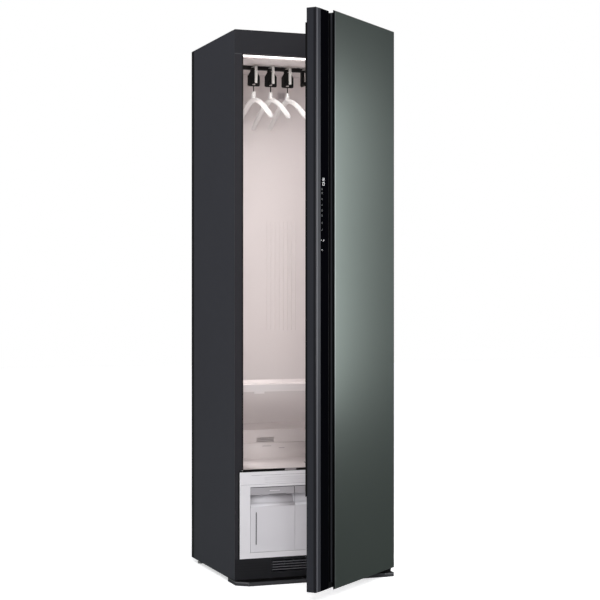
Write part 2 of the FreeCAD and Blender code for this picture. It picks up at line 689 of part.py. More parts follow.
def chamber_liner():
    """The chamber's moulded walls, open to the front: two sides and a back between a floor and a ceiling."""
    deep = (s.frame_face, chamber_back + s.liner_wall)
    z = (s.floor_top, ceiling)
    walls = [block("LinerSide", beside(side, chamber_half, liner_half), deep, z) for side in (-1, 1)]
    walls.append(block("LinerBack", (-chamber_half, chamber_half),
                       (chamber_back, chamber_back + s.liner_wall), z))
    floor_z = (s.floor_top - s.liner_wall, s.floor_top)
    floor = block("LinerFloor", (-liner_half, liner_half), deep, floor_z)
    x, y = fan_outlet()
    inset = s.housing_wall
    air = block("AirOpening", (x[0] + inset, x[1] - inset), (y[0] + inset, y[1] - inset),
                (floor_z[0] - 1, floor_z[1] + 1))
    basket_way = filter_hole("FilterOpening", floor_z[0] - 1, floor_z[1] + 1)
    walls.append(cut("LinerFloorOpened", floor, air, basket_way))
    roof = block("LinerCeiling", (-liner_half, liner_half), deep, (ceiling, ceiling + s.liner_wall))
    lamp_half = s.lamp_length / 2 + s.seam
    lamp_y = (s.lamp_front - s.seam, s.lamp_front + s.lamp_depth + s.seam)
    lamp = block("LampWindow", (-lamp_half, lamp_half), lamp_y, (ceiling - 1, ceiling + s.liner_wall + 1))
    walls.append(cut("LinerCeilingOpened", roof, lamp, *yoke_slots("YokeSlot")))
    keep("chamber_liner", compound("Liner", walls))


def duct_cover():
    """The raised moulding at the chamber's back that hides the duct, with the steam grille in its front."""
    front = chamber_back - s.duct_depth
    top = s.floor_top + s.duct_height
    outer = ((front, s.floor_top), (front, top), (chamber_back, top + s.duct_slope),
             (chamber_back, s.floor_top))
    wall = s.liner_wall
    inner = ((front + wall, s.floor_top - 1), (front + wall, top - wall),
             (chamber_back + 1, top + s.duct_slope - wall),
             (chamber_back + 1, s.floor_top - 1))
    width = chamber_half - s.seam
    shell = profile("DuctShell", "YZ_Plane", outer, -width, width)
    hollow = profile("DuctHollow", "YZ_Plane", inner, wall - width, width - wall)
    low = s.floor_top + s.grille_rise
    x = (s.grille_middle - s.grille_width / 2, s.grille_middle + s.grille_width / 2)
    bar = s.grille_height / (2 * GRILLE_BARS - 1)
    slots = [block("GrilleSlot", x, (front - 1, front + wall + 1),
                   (low + row * 2 * bar, low + (row * 2 + 1) * bar))
             for row in range(GRILLE_BARS)]
    keep("duct_cover", cut("Duct", shell, hollow, *slots))


def air_sensor_cover():
    """A small slotted cap on the back wall, over the temperature and humidity sensor."""
    reach = s.sensor_size / 2
    x = (s.sensor_across - reach, s.sensor_across + reach)
    low = ceiling - s.sensor_drop - reach
    y = (chamber_back - s.sensor_depth, chamber_back)
    cap = block("SensorCap", x, y, (low, low + s.sensor_size))
    bar = s.sensor_size / (2 * GRILLE_BARS + 1)
    slots = [block("SensorSlot", (x[0] + (column * 2 + 1) * bar, x[0] + (column * 2 + 2) * bar),
                   (y[0] - 1, y[1] - s.casing_sheet), (low + bar, low + s.sensor_size - bar))
             for column in range(GRILLE_BARS)]
    keep("air_sensor_cover", cut("SensorCover", cap, *slots))


def lamp_lens():
    """A diffuser flush with the ceiling, held by a flange that lies on top of it."""
    reach = s.lamp_length / 2
    y = (s.lamp_front, s.lamp_front + s.lamp_depth)
    lip = s.lamp_flange
    top = ceiling + s.liner_wall
    plug = block("LampPlug", (-reach, reach), y, (ceiling, top))
    flange = block("LampFlange", (-reach - lip, reach + lip), (y[0] - lip, y[1] + lip),
                   (top, top + s.liner_wall / 2))
    keep("lamp_lens", fuse("LampLens", plug, flange))


def drive_cover():
    width = chamber_half - s.seam
    y = (s.cover_front, s.rail_setback - s.rail_width / 2 - s.drive_clearance)
    keep("drive_cover", block("DriveCover", (-width, width), y, (ceiling - s.cover_thickness, ceiling)))


def shelf_supports():
    low = s.shelf_height - s.support_height
    y = (s.shelf_front + s.shelf_wall, s.shelf_front + s.shelf_depth)
    bars = [block("Support", beside(side, chamber_half, chamber_half - s.support_width), y,
                  (low, s.shelf_height))
            for side in (-1, 1)]
    keep("shelf_supports", compound("Supports", bars))


def shelf():
    """A tray that rests on two supports and lifts out, with a finger tab under its front edge."""
    width = chamber_half - s.shelf_clearance
    y = (s.shelf_front, s.shelf_front + s.shelf_depth)
    top = s.shelf_height + s.shelf_rim
    tray = rounded_block("Tray", (-width, width), y, (s.shelf_height, top), s.shelf_rim / 4)
    wall = s.shelf_wall
    hollow = block("TrayHollow", (wall - width, width - wall), (y[0] + wall, y[1] - wall),
                   (s.shelf_height + s.shelf_rim / 2, top + 1))
    tab = block("Tab", (s.tab_across - s.tab_width / 2, s.tab_across + s.tab_width / 2), (y[0], y[0] + wall),
                (s.shelf_height - s.tab_drop, s.shelf_height + wall))
    keep("shelf", cut("Shelf", fuse("ShelfTray", tray, tab), hollow))


def lint_filter():
    """A basket that hangs by its flange in the chamber floor and lifts out."""
    x = (s.filter_left, s.filter_left + s.filter_width)
    y = (s.filter_front, s.filter_front + s.filter_depth)
    flange = block("FilterFlange", x, y, (s.floor_top, s.floor_top + s.liner_wall))
    edge = s.filter_flange
    basket = block("Basket", (x[0] + edge, x[1] - edge), (y[0] + edge, y[1] - edge),
                   (s.floor_top - s.basket_drop, s.floor_top))
    wall = s.liner_wall / 2
    inner = edge + wall
    hollow = block("BasketHollow", (x[0] + inner, x[1] - inner), (y[0] + inner, y[1] - inner),
                   (s.floor_top - s.basket_drop + wall, s.floor_top + s.liner_wall + 1))
    middle = (x[0] + x[1]) / 2
    grip = block("FilterGrip", (middle - edge, middle + edge), (y[0] + edge, y[1] - edge),
                 (s.floor_top, s.floor_top + s.liner_wall))
    basket = cut("FilterBasket", fuse("FilterSolid", flange, basket), hollow)
    keep("lint_filter", fuse("LintFilter", basket, grip))


# Shaking hanger rail
def hanger_rail():
    """The rail with two arms up through the ceiling that carry the yoke round the crank pin."""
    x = (s.rail_park - s.rail_length / 2, s.rail_park + s.rail_length / 2)
    y = (s.rail_setback - s.rail_width / 2, s.rail_setback + s.rail_width / 2)
    parts = [block("RailBar", x, y, (rail_bottom, rail_top))]
    left, right = yoke_arm_places()
    for place in (left, right):
        parts.append(block("YokeArm", (place - s.yoke_rim / 2, place + s.yoke_rim / 2), y,
                           (rail_top, yoke_bottom + s.yoke_thickness)))
    depth = s.rail_stroke + s.crank_pin_radius + s.drive_clearance
    z = (yoke_bottom, yoke_bottom + s.yoke_thickness)
    outside = block("YokeOutside", (left - s.yoke_rim / 2, right + s.yoke_rim / 2),
                    (s.rail_setback - depth - s.yoke_rim, s.rail_setback + depth + s.yoke_rim), z)
    slot = block("YokeWindow", (left + s.yoke_rim / 2, right - s.yoke_rim / 2),
                 (s.rail_setback - depth, s.rail_setback + depth), (z[0] - 1, z[1] + 1))
    parts.append(cut("Yoke", outside, slot))
    keep("hanger_rail", fuse("Rail", *parts))


def rail_guides():
    """Two blocks under the ceiling through which the rail slides."""
    guides = []
    gap = s.slide_clearance
    for side in (-1, 1):
        middle = side * s.guide_span / 2
        x = (middle - s.guide_width / 2, middle + s.guide_width / 2)
        reach = s.rail_width / 2 + gap + s.guide_wall
        body = block("GuideBlock", x, (s.rail_setback - reach, s.rail_setback + reach),
                     (rail_bottom - gap - s.guide_wall, ceiling))
        bore_reach = s.rail_width / 2 + gap
        bore_y = (s.rail_setback - bore_reach, s.rail_setback + bore_reach)
        bore = block("GuideBore", (x[0] - 1, x[1] + 1), bore_y, (rail_bottom - gap, rail_top + gap))
        trim = block("GuideTrim", (x[0] - 1, x[1] + 1),
                     (s.rail_setback - reach - 1,
                      s.rail_setback - s.rail_width / 2 - s.drive_clearance + gap),
                     (ceiling - s.cover_thickness - gap, ceiling + 1))
        guides.append(cut("Guide", body, bore, trim))
    keep("rail_guides", compound("RailGuides", guides))


def holder_places():
    return [s.rail_park + (index - (HOLDERS - 1) / 2) * s.holder_pitch for index in range(HOLDERS)]


def hanger_holders():
    """Hooks under the rail: a square post, a round foot that runs forward and an upturned lip at its end."""
    back = s.rail_setback + s.holder_post / 2
    front = s.rail_setback - s.holder_post / 2
    tip = front - s.holder_reach
    holders = []
    for place in holder_places():
        x = (place - saddle_radius, place + saddle_radius)
        post = block("Post", x, (front, back), (saddle_height, rail_bottom))
        foot = rod("Saddle", saddle_radius, (place, saddle_height), tip, back, "y")
        lip_z = (saddle_height, saddle_height + saddle_radius + s.holder_tip)
        lip = block("Lip", x, (tip, tip + s.holder_lip), lip_z)
        holders.append(fuse("Holder", post, foot, lip))
    keep("hanger_holders", compound("Holders", holders))


def holder_gates():
    """A pale spring leaf in front of each holder, which keeps the hanger on it while the rail shakes."""
    tip = s.rail_setback - s.holder_post / 2 - s.holder_reach
    leaf = (tip - s.gate_gap, tip - s.gate_gap + s.gate_thickness)
    rail_front = s.rail_setback - s.rail_width / 2
    arm_low = rail_top - s.rail_height / 2
    leaf_low = saddle_height - saddle_radius
    corners = ((rail_front, arm_low), (leaf[1], arm_low), (leaf[1], leaf_low), (leaf[0], leaf_low),
               (leaf[0], arm_low + s.gate_thickness), (rail_front, arm_low + s.gate_thickness))
    reach = s.gate_width / 2
    gates = [profile("Gate", "YZ_Plane", corners, place - reach, place + reach) for place in holder_places()]
    keep("holder_gates", compound("Gates", gates))


def drive_crank():
    """Crank disc with its pin below and its shaft above. The pin stands towards the back at rest."""
    centre = (s.rail_park, s.rail_setback)
    disc = rod("CrankDisc", s.crank_radius, centre, crank_bottom, crank_bottom + s.crank_thickness)
    pin = rod("CrankPin", s.crank_pin_radius, (s.rail_park, s.rail_setback + s.rail_stroke),
              yoke_bottom + s.drive_clearance / 2, crank_bottom + s.crank_thickness / 2)
    shaft = rod("CrankShaft", s.shaft_radius, centre, crank_bottom, motor_bottom + s.drive_clearance * 2)
    keep("drive_crank", fuse("Crank", disc, pin, shaft))


def drive_motor():
    """Gear motor over the crank, on a bracket that bridges the yoke."""
    centre = (s.rail_park, s.rail_setback)
    shell = rod("MotorShell", s.motor_radius, centre, motor_bottom, motor_bottom + s.motor_height)
    reach = s.motor_radius + 4 * s.drive_clearance
    deep = s.rail_stroke + s.crank_pin_radius + s.yoke_rim + 3 * s.drive_clearance
    floor = ceiling + s.liner_wall
    plate_z = (motor_bottom - s.drive_clearance, motor_bottom)
    y = (s.rail_setback - deep - s.frame_face, s.rail_setback + deep + s.frame_face)
    plate = block("MotorPlate", (s.rail_park - reach, s.rail_park + reach), y, plate_z)
    legs = [block("MotorLeg", (s.rail_park - reach, s.rail_park + reach), pair, (floor, plate_z[1]))
            for pair in ((y[0], y[0] + s.frame_face), (y[1] - s.frame_face, y[1]))]
    bore = rod("MotorBore", s.shaft_radius + s.running_fit, centre, plate_z[0] - 1,
               motor_bottom + s.drive_clearance * 3)
    keep("drive_motor", cut("Motor", fuse("MotorSolid", shell, plate, *legs), bore))


def hanger(number, place):
    """A hanger: a ring on a wire stem, and a shaped body that hangs front to back in the chamber."""
    reach = s.ring_width / 2
    low = saddle_height - saddle_radius - s.ring_slack - s.ring_rim
    top = low + s.ring_height
    y = (ring_middle - s.ring_thickness / 2, ring_middle + s.ring_thickness / 2)
    shoulder = top - s.ring_height / 3
    neck = s.ring_width / 4
    corners = ((place - reach, low), (place + reach, low), (place + reach, shoulder), (place + neck, top),
               (place - neck, top), (place - reach, shoulder))
    plate = dress(profile("Ring", "XZ_Plane", corners, *y), "Fillet", s.ring_width / 8, along_y)
    arch = saddle_radius + s.ring_clearance
    through = (y[0] - 1, y[1] + 1)
    crown = rod("RingArch", arch, (place, saddle_height), *through, "y")
    window = block("RingWindow", (place - arch, place + arch), through, (low + s.ring_rim, saddle_height))
    stem = rod("Stem", s.hook_wire, (place, ring_middle), low - s.stem_length, low + s.ring_rim / 2)
    keep(f"hanger_hook_{number}", fuse("Hook", cut("RingPlate", plate, crown, window), stem))
    neck_top = low - s.stem_length
    post = rod("Neck", s.neck_radius, (place, ring_middle), neck_top - s.neck_height, neck_top)
    arms = profile("Arms", "YZ_Plane", shoulder_points(neck_top), place - s.hanger_thickness / 2,
                   place + s.hanger_thickness / 2)
    keep(f"hanger_body_{number}", fuse("HangerBody", post, arms))


def along_y(edge):
    ends = edge.Vertexes[0].Point, edge.Vertexes[-1].Point
    return abs(ends[0].x - ends[1].x) < 0.01 and abs(ends[0].z - ends[1].z) < 0.01


def shoulder_points(neck_top):
    """Front-to-back outline of both shoulders: each falls ever faster towards its end."""
    crown = neck_top - s.crown_drop
    right_top = []
    for index in range(SHOULDER_STEPS + 1):
        share = index / SHOULDER_STEPS
        right_top.append((ring_middle + s.hanger_reach * share, crown - s.hanger_fall * share ** 1.5))
    top = [(2 * ring_middle - across, up) for across, up in reversed(right_top[1:])] + right_top
    under = [(across, up - s.hanger_depth) for across, up in reversed(top)]
    return top + under


# Water module
def module_front():
    """White frame round the tank bay."""
    x = (s.seam - module_half, module_half - s.seam)
    y = (0, s.module_plate)
    plate = block("ModulePlate", x, y, (s.module_bottom, strip_bottom - s.seam))
    opening = block("ModuleOpening", (bay_left, bay_right), (y[0] - 1, y[1] + 1),
                    (s.bay_bottom, s.bay_bottom + s.bay_height))
    keep("module_front", cut("ModuleFront", plate, opening))


def intake_grille():
    """The strip above the tanks, with three long air slots."""
    x = (s.seam - module_half, module_half - s.seam)
    y = (0, s.module_plate)
    plate = block("GrillePlate", x, y, (strip_bottom, s.module_top))
    middle = strip_bottom + s.slot_rise
    slots = [block("IntakeSlot", (-s.slot_length / 2, s.slot_length / 2), (y[0] - 1, y[1] + 1),
                   (middle + row * s.slot_pitch,
                    middle + row * s.slot_pitch + s.slot_height)) for row in (-1, 0, 1)]
    keep("intake_grille", cut("IntakeGrille", plate, *slots))


def tank_bay():
    """Five-walled pocket behind the module's opening, which the tanks slide into."""
    front = s.module_plate
    wall = s.bay_wall
    top = s.bay_bottom + s.bay_height
    outside = block("BayOutside", (bay_left - wall, bay_right + wall), (front, bay_depth + wall),
                    (s.bay_bottom - wall, top + wall))
    inside = block("BayInside", (bay_left, bay_right), (front - 1, bay_depth), (s.bay_bottom, top))
    keep("tank_bay", cut("TankBay", outside, inside))


def tank(name, left, slot_x, inwards):
    """A tank with a hand grip in its front, and a lid whose front edge hangs over the grip.

    inwards is 1 where the other tank stands to the right of this one and -1 where it stands to the left.
    """
    x = (left, left + s.tank_width - s.tank_gap)
    low = s.bay_bottom + s.tank_gap
    top = low + s.tank_height
    lip = low + s.lip_height
    grip = s.grip_depth
    back = bay_depth - s.tank_backroom
    front = -s.tank_proud
    round_in = s.lip_round / 3
    outer = ((front, low), (front, lip), (front + round_in, lip + s.lip_round - round_in),
             (front + s.lip_round, lip + s.lip_round), (s.scoop_run, lip + s.scoop_rise),
             (grip, lip + s.scoop_top), (grip, top), (back, top), (back, low))
    wall = s.tank_wall
    inner = ((front + wall, low + wall), (front + wall, lip - wall),
             (s.scoop_run, lip + s.scoop_rise - 2 * wall), (grip + wall, lip + s.scoop_top - wall),
             (grip + wall, top + 1), (back - wall, top + 1), (back - wall, low + wall))
    solid = profile(name + "Solid", "YZ_Plane", outer, *x)
    hollow = profile(name + "Hollow", "YZ_Plane", inner, x[0] + wall, x[1] - wall)
    slot_low = low + (s.lip_height - s.level_height) / 2
    slot = block(name + "Level", (slot_x - s.level_slot / 2, slot_x + s.level_slot / 2),
                 (front - 1, front + s.tank_wall / 2), (slot_low, slot_low + s.level_height))
    keep(name, cut(name + "Body", solid, hollow, slot))
    middle = (x[0] + x[1]) / 2
    bar_middle = middle + inwards * s.latch_offset
    edge = top - s.lid_drop
    cap = block(name + "Cap", x, (grip, back), (top, top + s.lid_height))
    brow = block(name + "Brow", x, (s.lid_setback, grip), (edge, top + s.lid_height))
    bar = block(name + "Latch", (bar_middle - s.latch_width / 2, bar_middle + s.latch_width / 2),
                (s.lid_setback - s.latch_proud, s.lid_setback), (edge, edge + s.latch_height))
    keep(name + "_lid", fuse(name + "Lid", cap, brow, bar))


def water_tanks():
    left = bay_left + s.tank_gap
    right = left + s.tank_width
    tank("supply_tank", left, left + s.level_inset, 1)
    tank("drain_tank", right, right + s.tank_width - s.tank_gap - s.level_inset, -1)


def kick_panel():
    low = s.stand_height + s.kick_gap
    plate = block("Kick", (-half, half), (0, s.frame_face), (low, s.module_bottom))
    slots = [block("Louvre", (-s.louvre_length / 2, s.louvre_length / 2), (-1, s.frame_face + 1),
                   (s.louvre_rise + row * s.louvre_pitch,
                    s.louvre_rise + row * s.louvre_pitch + s.louvre_height))
             for row in range(LOUVRES)]
    keep("kick_panel", cut("KickPanel", plate, *slots))


# Machine bay
def compressor_centre():
    inset = s.compressor_radius + s.compressor_inset
    return module_half - inset, bay_depth + s.compressor_radius + s.compressor_setback


def compressor():
    """Hermetic compressor: a domed shell on a foot plate, on four rubber mounts."""
    x, y = compressor_centre()
    plate_low = pan_top + s.mount_height
    shell_low = plate_low + s.foot_plate
    shell = rod("CompressorShell", s.compressor_radius, (x, y), shell_low, shell_low + s.compressor_height)
    dome = doc.addObject("Part::Sphere", "CompressorDome")
    bind(dome, "Radius", s.compressor_radius)
    for letter, place in zip("xyz", (x, y, shell_low + s.compressor_height)):
        bind(dome, f"Placement.Base.{letter}", place)
    reach = s.compressor_radius + s.mount_radius
    plate = block("CompressorPlate", (x - reach, x + reach), (y - reach, y + reach), (plate_low, shell_low))
    keep("compressor", fuse("Compressor", shell, dome, plate))
    corner = s.compressor_radius
    mounts = [rod("Mount", s.mount_radius, (x + a * corner, y + b * corner), pan_top, plate_low)
              for a in (-1, 1) for b in (-1, 1)]
    keep("compressor_mounts", compound("CompressorMounts", mounts))


def tube_height(row):
    """Height of one tube row of the coils above the floor."""
    return pan_top + (row + 0.5) * s.coil_height / COIL_ROWS


def coil(front):
    """A finned heat exchanger: a fin pack between two end plates, on straight tubes."""
    x = (bay_left, bay_left + s.coil_width)
    y = (front, front + s.coil_depth)
    z = (pan_top, pan_top + s.coil_height)
    plate, inset = s.coil_plate, s.fin_inset
    pieces = [block("CoilEnd", (place, place + plate), y, z) for place in (x[0], x[1] - plate)]
    for index in range(1, int(float(s.coil_width) / float(s.fin_pitch))):
        fin = x[0] + index * s.fin_pitch
        pieces.append(block("CoilFin", (fin, fin + plate), (y[0] + inset, y[1] - inset),
                            (z[0] + inset, z[1] - inset)))
    for row in range(COIL_ROWS):
        pieces.append(rod("CoilTube", s.pipe_radius, (front + s.coil_depth / 2, tube_height(row)),
                          x[0] - 2 * s.pipe_radius, x[1] + 2 * s.pipe_radius, "x"))
    return fuse("Coil", *pieces)


def heat_exchangers():
    """Evaporator in front, which dries the air, and condenser behind it, which warms it again."""
    keep("heat_exchangers", compound("HeatExchangers", [coil(first_coil), coil(second_coil)]))


def fan_axis():
    return fan_across, fan_height


def fan_housing():
    """Drum round the fan wheel with an inlet in front, a shaft hole behind and an outlet upwards."""
    wall = s.housing_wall
    drum = s.fan_radius + s.fan_clearance
    x, y = fan_outlet()
    top = s.floor_top - s.liner_wall
    outside = fuse("HousingOutside", rod("Drum", drum + wall, fan_axis(), y[0], y[1], "y"),
                   block("Outlet", x, y, (fan_height, top)))
    inner_y = (y[0] + wall, y[1] - wall)
    inside = fuse("HousingInside", rod("DrumInside", drum, fan_axis(), *inner_y, "y"),
                  block("OutletInside", (x[0] + wall, x[1] - wall), inner_y, (fan_height, top + 1)))
    inlet = rod("Inlet", s.fan_inlet, fan_axis(), y[0] - 1, y[0] + wall + 1, "y")
    hole = rod("ShaftHole", s.shaft_radius * 2, fan_axis(), y[1] - wall - 1, y[1] + 1, "y")
    keep("fan_housing", cut("FanHousing", outside, inside, inlet, hole))


def fan_wheel():
    """Centrifugal wheel on its shaft: back plate, hub and a ring of blades held by a front ring."""
    width = s.fan_width - s.fan_clearance
    back = wheel_front + width
    ring_end = wheel_front + s.wheel_plate
    plate = rod("WheelPlate", s.fan_radius, fan_axis(), back - s.wheel_plate, back, "y")
    hub = rod("WheelHub", s.wheel_hub, fan_axis(), wheel_front + width / 2, back, "y")
    ring = cut("WheelRing", rod("RingOutside", s.fan_radius, fan_axis(), wheel_front, ring_end, "y"),
               rod("RingInside", s.fan_radius - s.blade_chord, fan_axis(), wheel_front - 1, ring_end + 1,
                   "y"))
    blades = doc.addObject("Part::Feature", "WheelBlades")
    blades.Shape = blade_ring(float(wheel_front), float(back), float(s.blade_thickness))
    shaft = rod("WheelShaft", s.shaft_radius, fan_axis(), back - s.wheel_plate,
                fan_outlet()[1][1] + s.fan_motor_length / 2, "y")
    keep("fan_wheel", fuse("FanWheel", plate, hub, ring, blades, shaft))


def blade_ring(low, high, thickness):
    """Straight blades leaned forwards, evenly round the wheel."""
    outer = float(s.fan_radius) - thickness
    chord = float(s.blade_chord) - thickness
    blade = Part.makeBox(thickness, high - low, chord, Vector(-thickness / 2, low, outer - chord))
    blade.rotate(Vector(0, 0, outer - chord / 2), Vector(0, 1, 0), BLADE_LEAN)
    ring = []
    for index in range(FAN_BLADES):
        copy = blade.copy()
        copy.rotate(Vector(), Vector(0, 1, 0), 360 * index / FAN_BLADES)
        ring.append(copy)
    blades = Part.makeCompound(ring)
    blades.translate(Vector(float(fan_across), 0, float(fan_height)))
    return blades


def fan_motor():
    """Motor on the back of the fan housing, with a bore for the wheel's shaft."""
    low = fan_outlet()[1][1]
    shell = rod("FanMotorShell", s.fan_motor_radius, fan_axis(), low, low + s.fan_motor_length, "y")
    bore = rod("FanMotorBore", s.shaft_radius + s.running_fit, fan_axis(), low - 1,
               low + s.fan_motor_length / 2 + s.drive_clearance, "y")
    keep("fan_motor", cut("FanMotor", shell, bore))


def steamer_place():
    left, front = s.steamer_left, bay_depth + s.steamer_setback
    return (left, left + s.steamer_width), (front, front + s.steamer_depth)


def steam_generator():
    """Boiler box with a flanged lid and a steam nozzle."""
    x, y = steamer_place()
    top = pan_top + s.steamer_height
    rim = s.steamer_rim
    box = block("Boiler", x, y, (pan_top, top))
    lid = block("BoilerLid", (x[0] - rim, x[1] + rim), (y[0] - rim, y[1] + rim), (top, top + s.steamer_lid))
    centre = ((x[0] + x[1]) / 2, (y[0] + y[1]) / 2)
    nozzle = rod("SteamNozzle", s.nozzle_radius, centre, top, top + s.steamer_lid + s.nozzle_height)
    keep("steam_generator", fuse("SteamGenerator", box, lid, nozzle))


def pump_centre():
    x, y = steamer_place()
    return (x[0] + x[1]) / 2, bay_depth + s.pump_setback


def water_pump():
    """Small pump standing on the pan in front of the steam generator, its outlet stub pointing at it."""
    x, y = pump_centre()
    body = rod("PumpBody", s.pump_radius, (x, y), pan_top, pan_top + s.pump_height)
    stub = rod("PumpStub", s.hose_radius, (x, pan_top + s.pump_outlet), y, y + s.pump_stub, "y")
    keep("water_pump", fuse("WaterPump", body, stub))


def route(points, radius):
    """A round tube along straight runs joined by tangent arcs."""
    places = [Vector(*(float(place) for place in point)) for point in points]
    edges = []
    start = places[0]
    for before, corner, after in zip(places, places[1:], places[2:]):
        inward = (before - corner).normalize()
        outward = (after - corner).normalize()
        turn = pi - inward.getAngle(outward)
        trim = 0.45 * min((before - corner).Length, (after - corner).Length)
        first, last = corner + inward * trim, corner + outward * trim
        bend = trim / sin(turn / 2) * cos(turn / 2)
        middle_way = (inward + outward).normalize()
        middle = corner + middle_way * (bend / cos(turn / 2) - bend)
        edges.append(Part.LineSegment(start, first).toShape())
        edges.append(Part.Arc(first, middle, last).toShape())
        start = last
    edges.append(Part.LineSegment(start, places[-1]).toShape())
    path = Part.Wire(edges)
    ring = Part.Wire(Part.Circle(places[0], places[1] - places[0], radius).toShape())
    return path.makePipeShell([ring], True, False)


def water_hoses():
    """One hose from the tank bay down to the pump, one from the pump back to the steam generator."""
    x, y = pump_centre()
    radius = float(s.hose_radius)
    supply_height = s.bay_bottom + s.hose_rise
    supply = route(((x, bay_back, supply_height), (x, y, supply_height), (x, y, pan_top + s.pump_height)),
                   radius)
    start = float(y + s.pump_stub)
    end = float(steamer_place()[1][0])
    feed = Part.makeCylinder(radius, end - start, Vector(float(x), start, float(pan_top + s.pump_outlet)),
                             Vector(0, 1, 0))
    hoses = doc.addObject("Part::Feature", "WaterHoses")
    hoses.Shape = Part.makeCompound([supply, feed])
    keep("water_hoses", hoses)


def refrigerant_pipes():
    """Copper pipes from the top of the compressor to the condenser, and to it from the evaporator."""
    x, y = compressor_centre()
    shell_top = pan_top + s.mount_height + s.foot_plate + s.compressor_height
    crown = shell_top + s.compressor_radius
    coil_end = bay_left + s.coil_width + 2 * s.pipe_radius
    turn = coil_end + 2 * s.compressor_inset
    pipes = []
    hot = (second_coil, COIL_ROWS - 1, x - s.compressor_radius / 2, crown + s.pipe_rise)
    cold = (first_coil, COIL_ROWS - 2, x, crown + 2 * s.pipe_rise)
    for front, row, port, height in (hot, cold):
        middle = front + s.coil_depth / 2
        across = tube_height(row)
        tube = route(((port, y, shell_top), (port, y, height), (turn, middle, height),
                      (turn - s.compressor_inset, middle, across), (coil_end, middle,
                                                                    across)), float(s.pipe_radius))
        pipes.extend(tube.cut(doc.getObject("Compressor").Shape).Solids)
    lines = doc.addObject("Part::Feature", "RefrigerantPipes")
    lines.Shape = Part.makeCompound(pipes)
    keep("refrigerant_pipes", lines)


def control_box():
    """Housing of the control board, on the back panel in the machine bay's upper corner."""
    right = module_half - s.box_inset
    back = s.body_depth - s.casing_sheet
    top = s.floor_top - s.liner_wall - s.box_inset
    keep("control_box", rounded_block("ControlBox", (right - s.box_width, right), (back - s.box_depth, back),
                                      (top - s.box_height, top), s.box_round))


def gland_centre():
    return half - s.gland_inset, s.gland_rise


def cord_gland():
    """Gland in the back panel where the mains lead would leave, with its flange inside the panel."""
    centre = gland_centre()
    inner = s.body_depth - s.casing_sheet
    flange = rod("GlandFlange", s.gland_flange, centre, inner - s.gland_depth, inner, "y")
    neck = rod("GlandNeck", s.gland_radius, centre, inner - s.gland_depth, s.body_depth, "y")
    bore = rod("GlandBore", s.gland_bore, centre, inner - s.gland_depth - 1, s.body_depth + 1, "y")
    keep("cord_gland", cut("Gland", fuse("GlandSolid", flange, neck), bore))


# Hinges
def hinge_plate_points():
    """Plan of a hinge plate: an arm beside the pin, so the door can pass behind the pin."""
    right = hinge_x - s.arm_offset
    left = right - s.plate_arm
    front = hinge_y - s.plate_nose
    return ((left, front), (hinge_x, front), (hinge_x, hinge_y + s.plate_nose),
            (right, hinge_y + s.plate_nose),
            (right, s.plate_back), (left, s.plate_back))


def screw_holes(name):
    """The two screw holes of the upper hinge, through its plate and the casing's top."""
    x = hinge_x - s.arm_offset - s.plate_arm / 2
    z = (s.body_top - s.frame_face - 1, s.body_top + s.plate_thickness + 1)
    return fuse(name, *(rod("ScrewHole", s.screw_radius, (x, y), *z) for y in (s.screw_first,
                                                                               s.screw_second)))


def upper_hinge():
    """Plate screwed on the casing's top, with its pin hanging down into the door."""
    z = (s.body_top, s.body_top + s.plate_thickness)
    plate = profile("UpperPlate", "XY_Plane", hinge_plate_points(), *z)
    nose = rod("UpperNose", s.plate_nose, (hinge_x, hinge_y), *z)
    pin = rod("UpperPin", s.pin_radius, (hinge_x, hinge_y), z[0] - s.pin_length, z[1])
    return cut("UpperHinge", fuse("UpperHingeSolid", plate, nose, pin), screw_holes("PlateScrews"))


def lower_hinge():
    """Plate under the door with a flange against the kick panel, its pin standing up into the door."""
    low = s.door_bottom - s.lower_plate_drop
    top = low + s.plate_thickness
    right = hinge_x - s.arm_offset
    left = right - s.plate_arm
    plate = block("LowerPlate", (left, hinge_x), (hinge_y - s.plate_nose, hinge_y + s.plate_nose), (low, top))
    arm = block("LowerArm", (left, right), (hinge_y, 0), (low, top))
    flange = block("LowerFlange", (left, hinge_x), (-s.frame_face, 0),
                   (low, s.door_bottom - s.lower_foot_gap))
    nose = rod("LowerNose", s.plate_nose, (hinge_x, hinge_y), low, top)
    pin = rod("LowerPin", s.pin_radius, (hinge_x, hinge_y), low, s.door_bottom + s.bush_length)
    return fuse("LowerHinge", plate, arm, flange, nose, pin)


def hinge_brackets():
    keep("hinge_brackets", compound("HingeBrackets", [upper_hinge(), lower_hinge()]))


def hinge_bushes():
    """Two bushes in the door that run on the hinge pins."""
    bushes = []
    for low in (s.door_bottom, notch_floor - s.bush_length):
        sleeve = rod("Bush", s.bush_radius, (hinge_x, hinge_y), low, low + s.bush_length)
        bore = rod("BushBore", s.pin_radius + s.running_fit, (hinge_x, hinge_y), low - 1,
                   low + s.bush_length + 1)
        bushes.append(cut("BushSleeve", sleeve, bore))
    on_door("hinge_bushes", compound("Bushes", bushes))


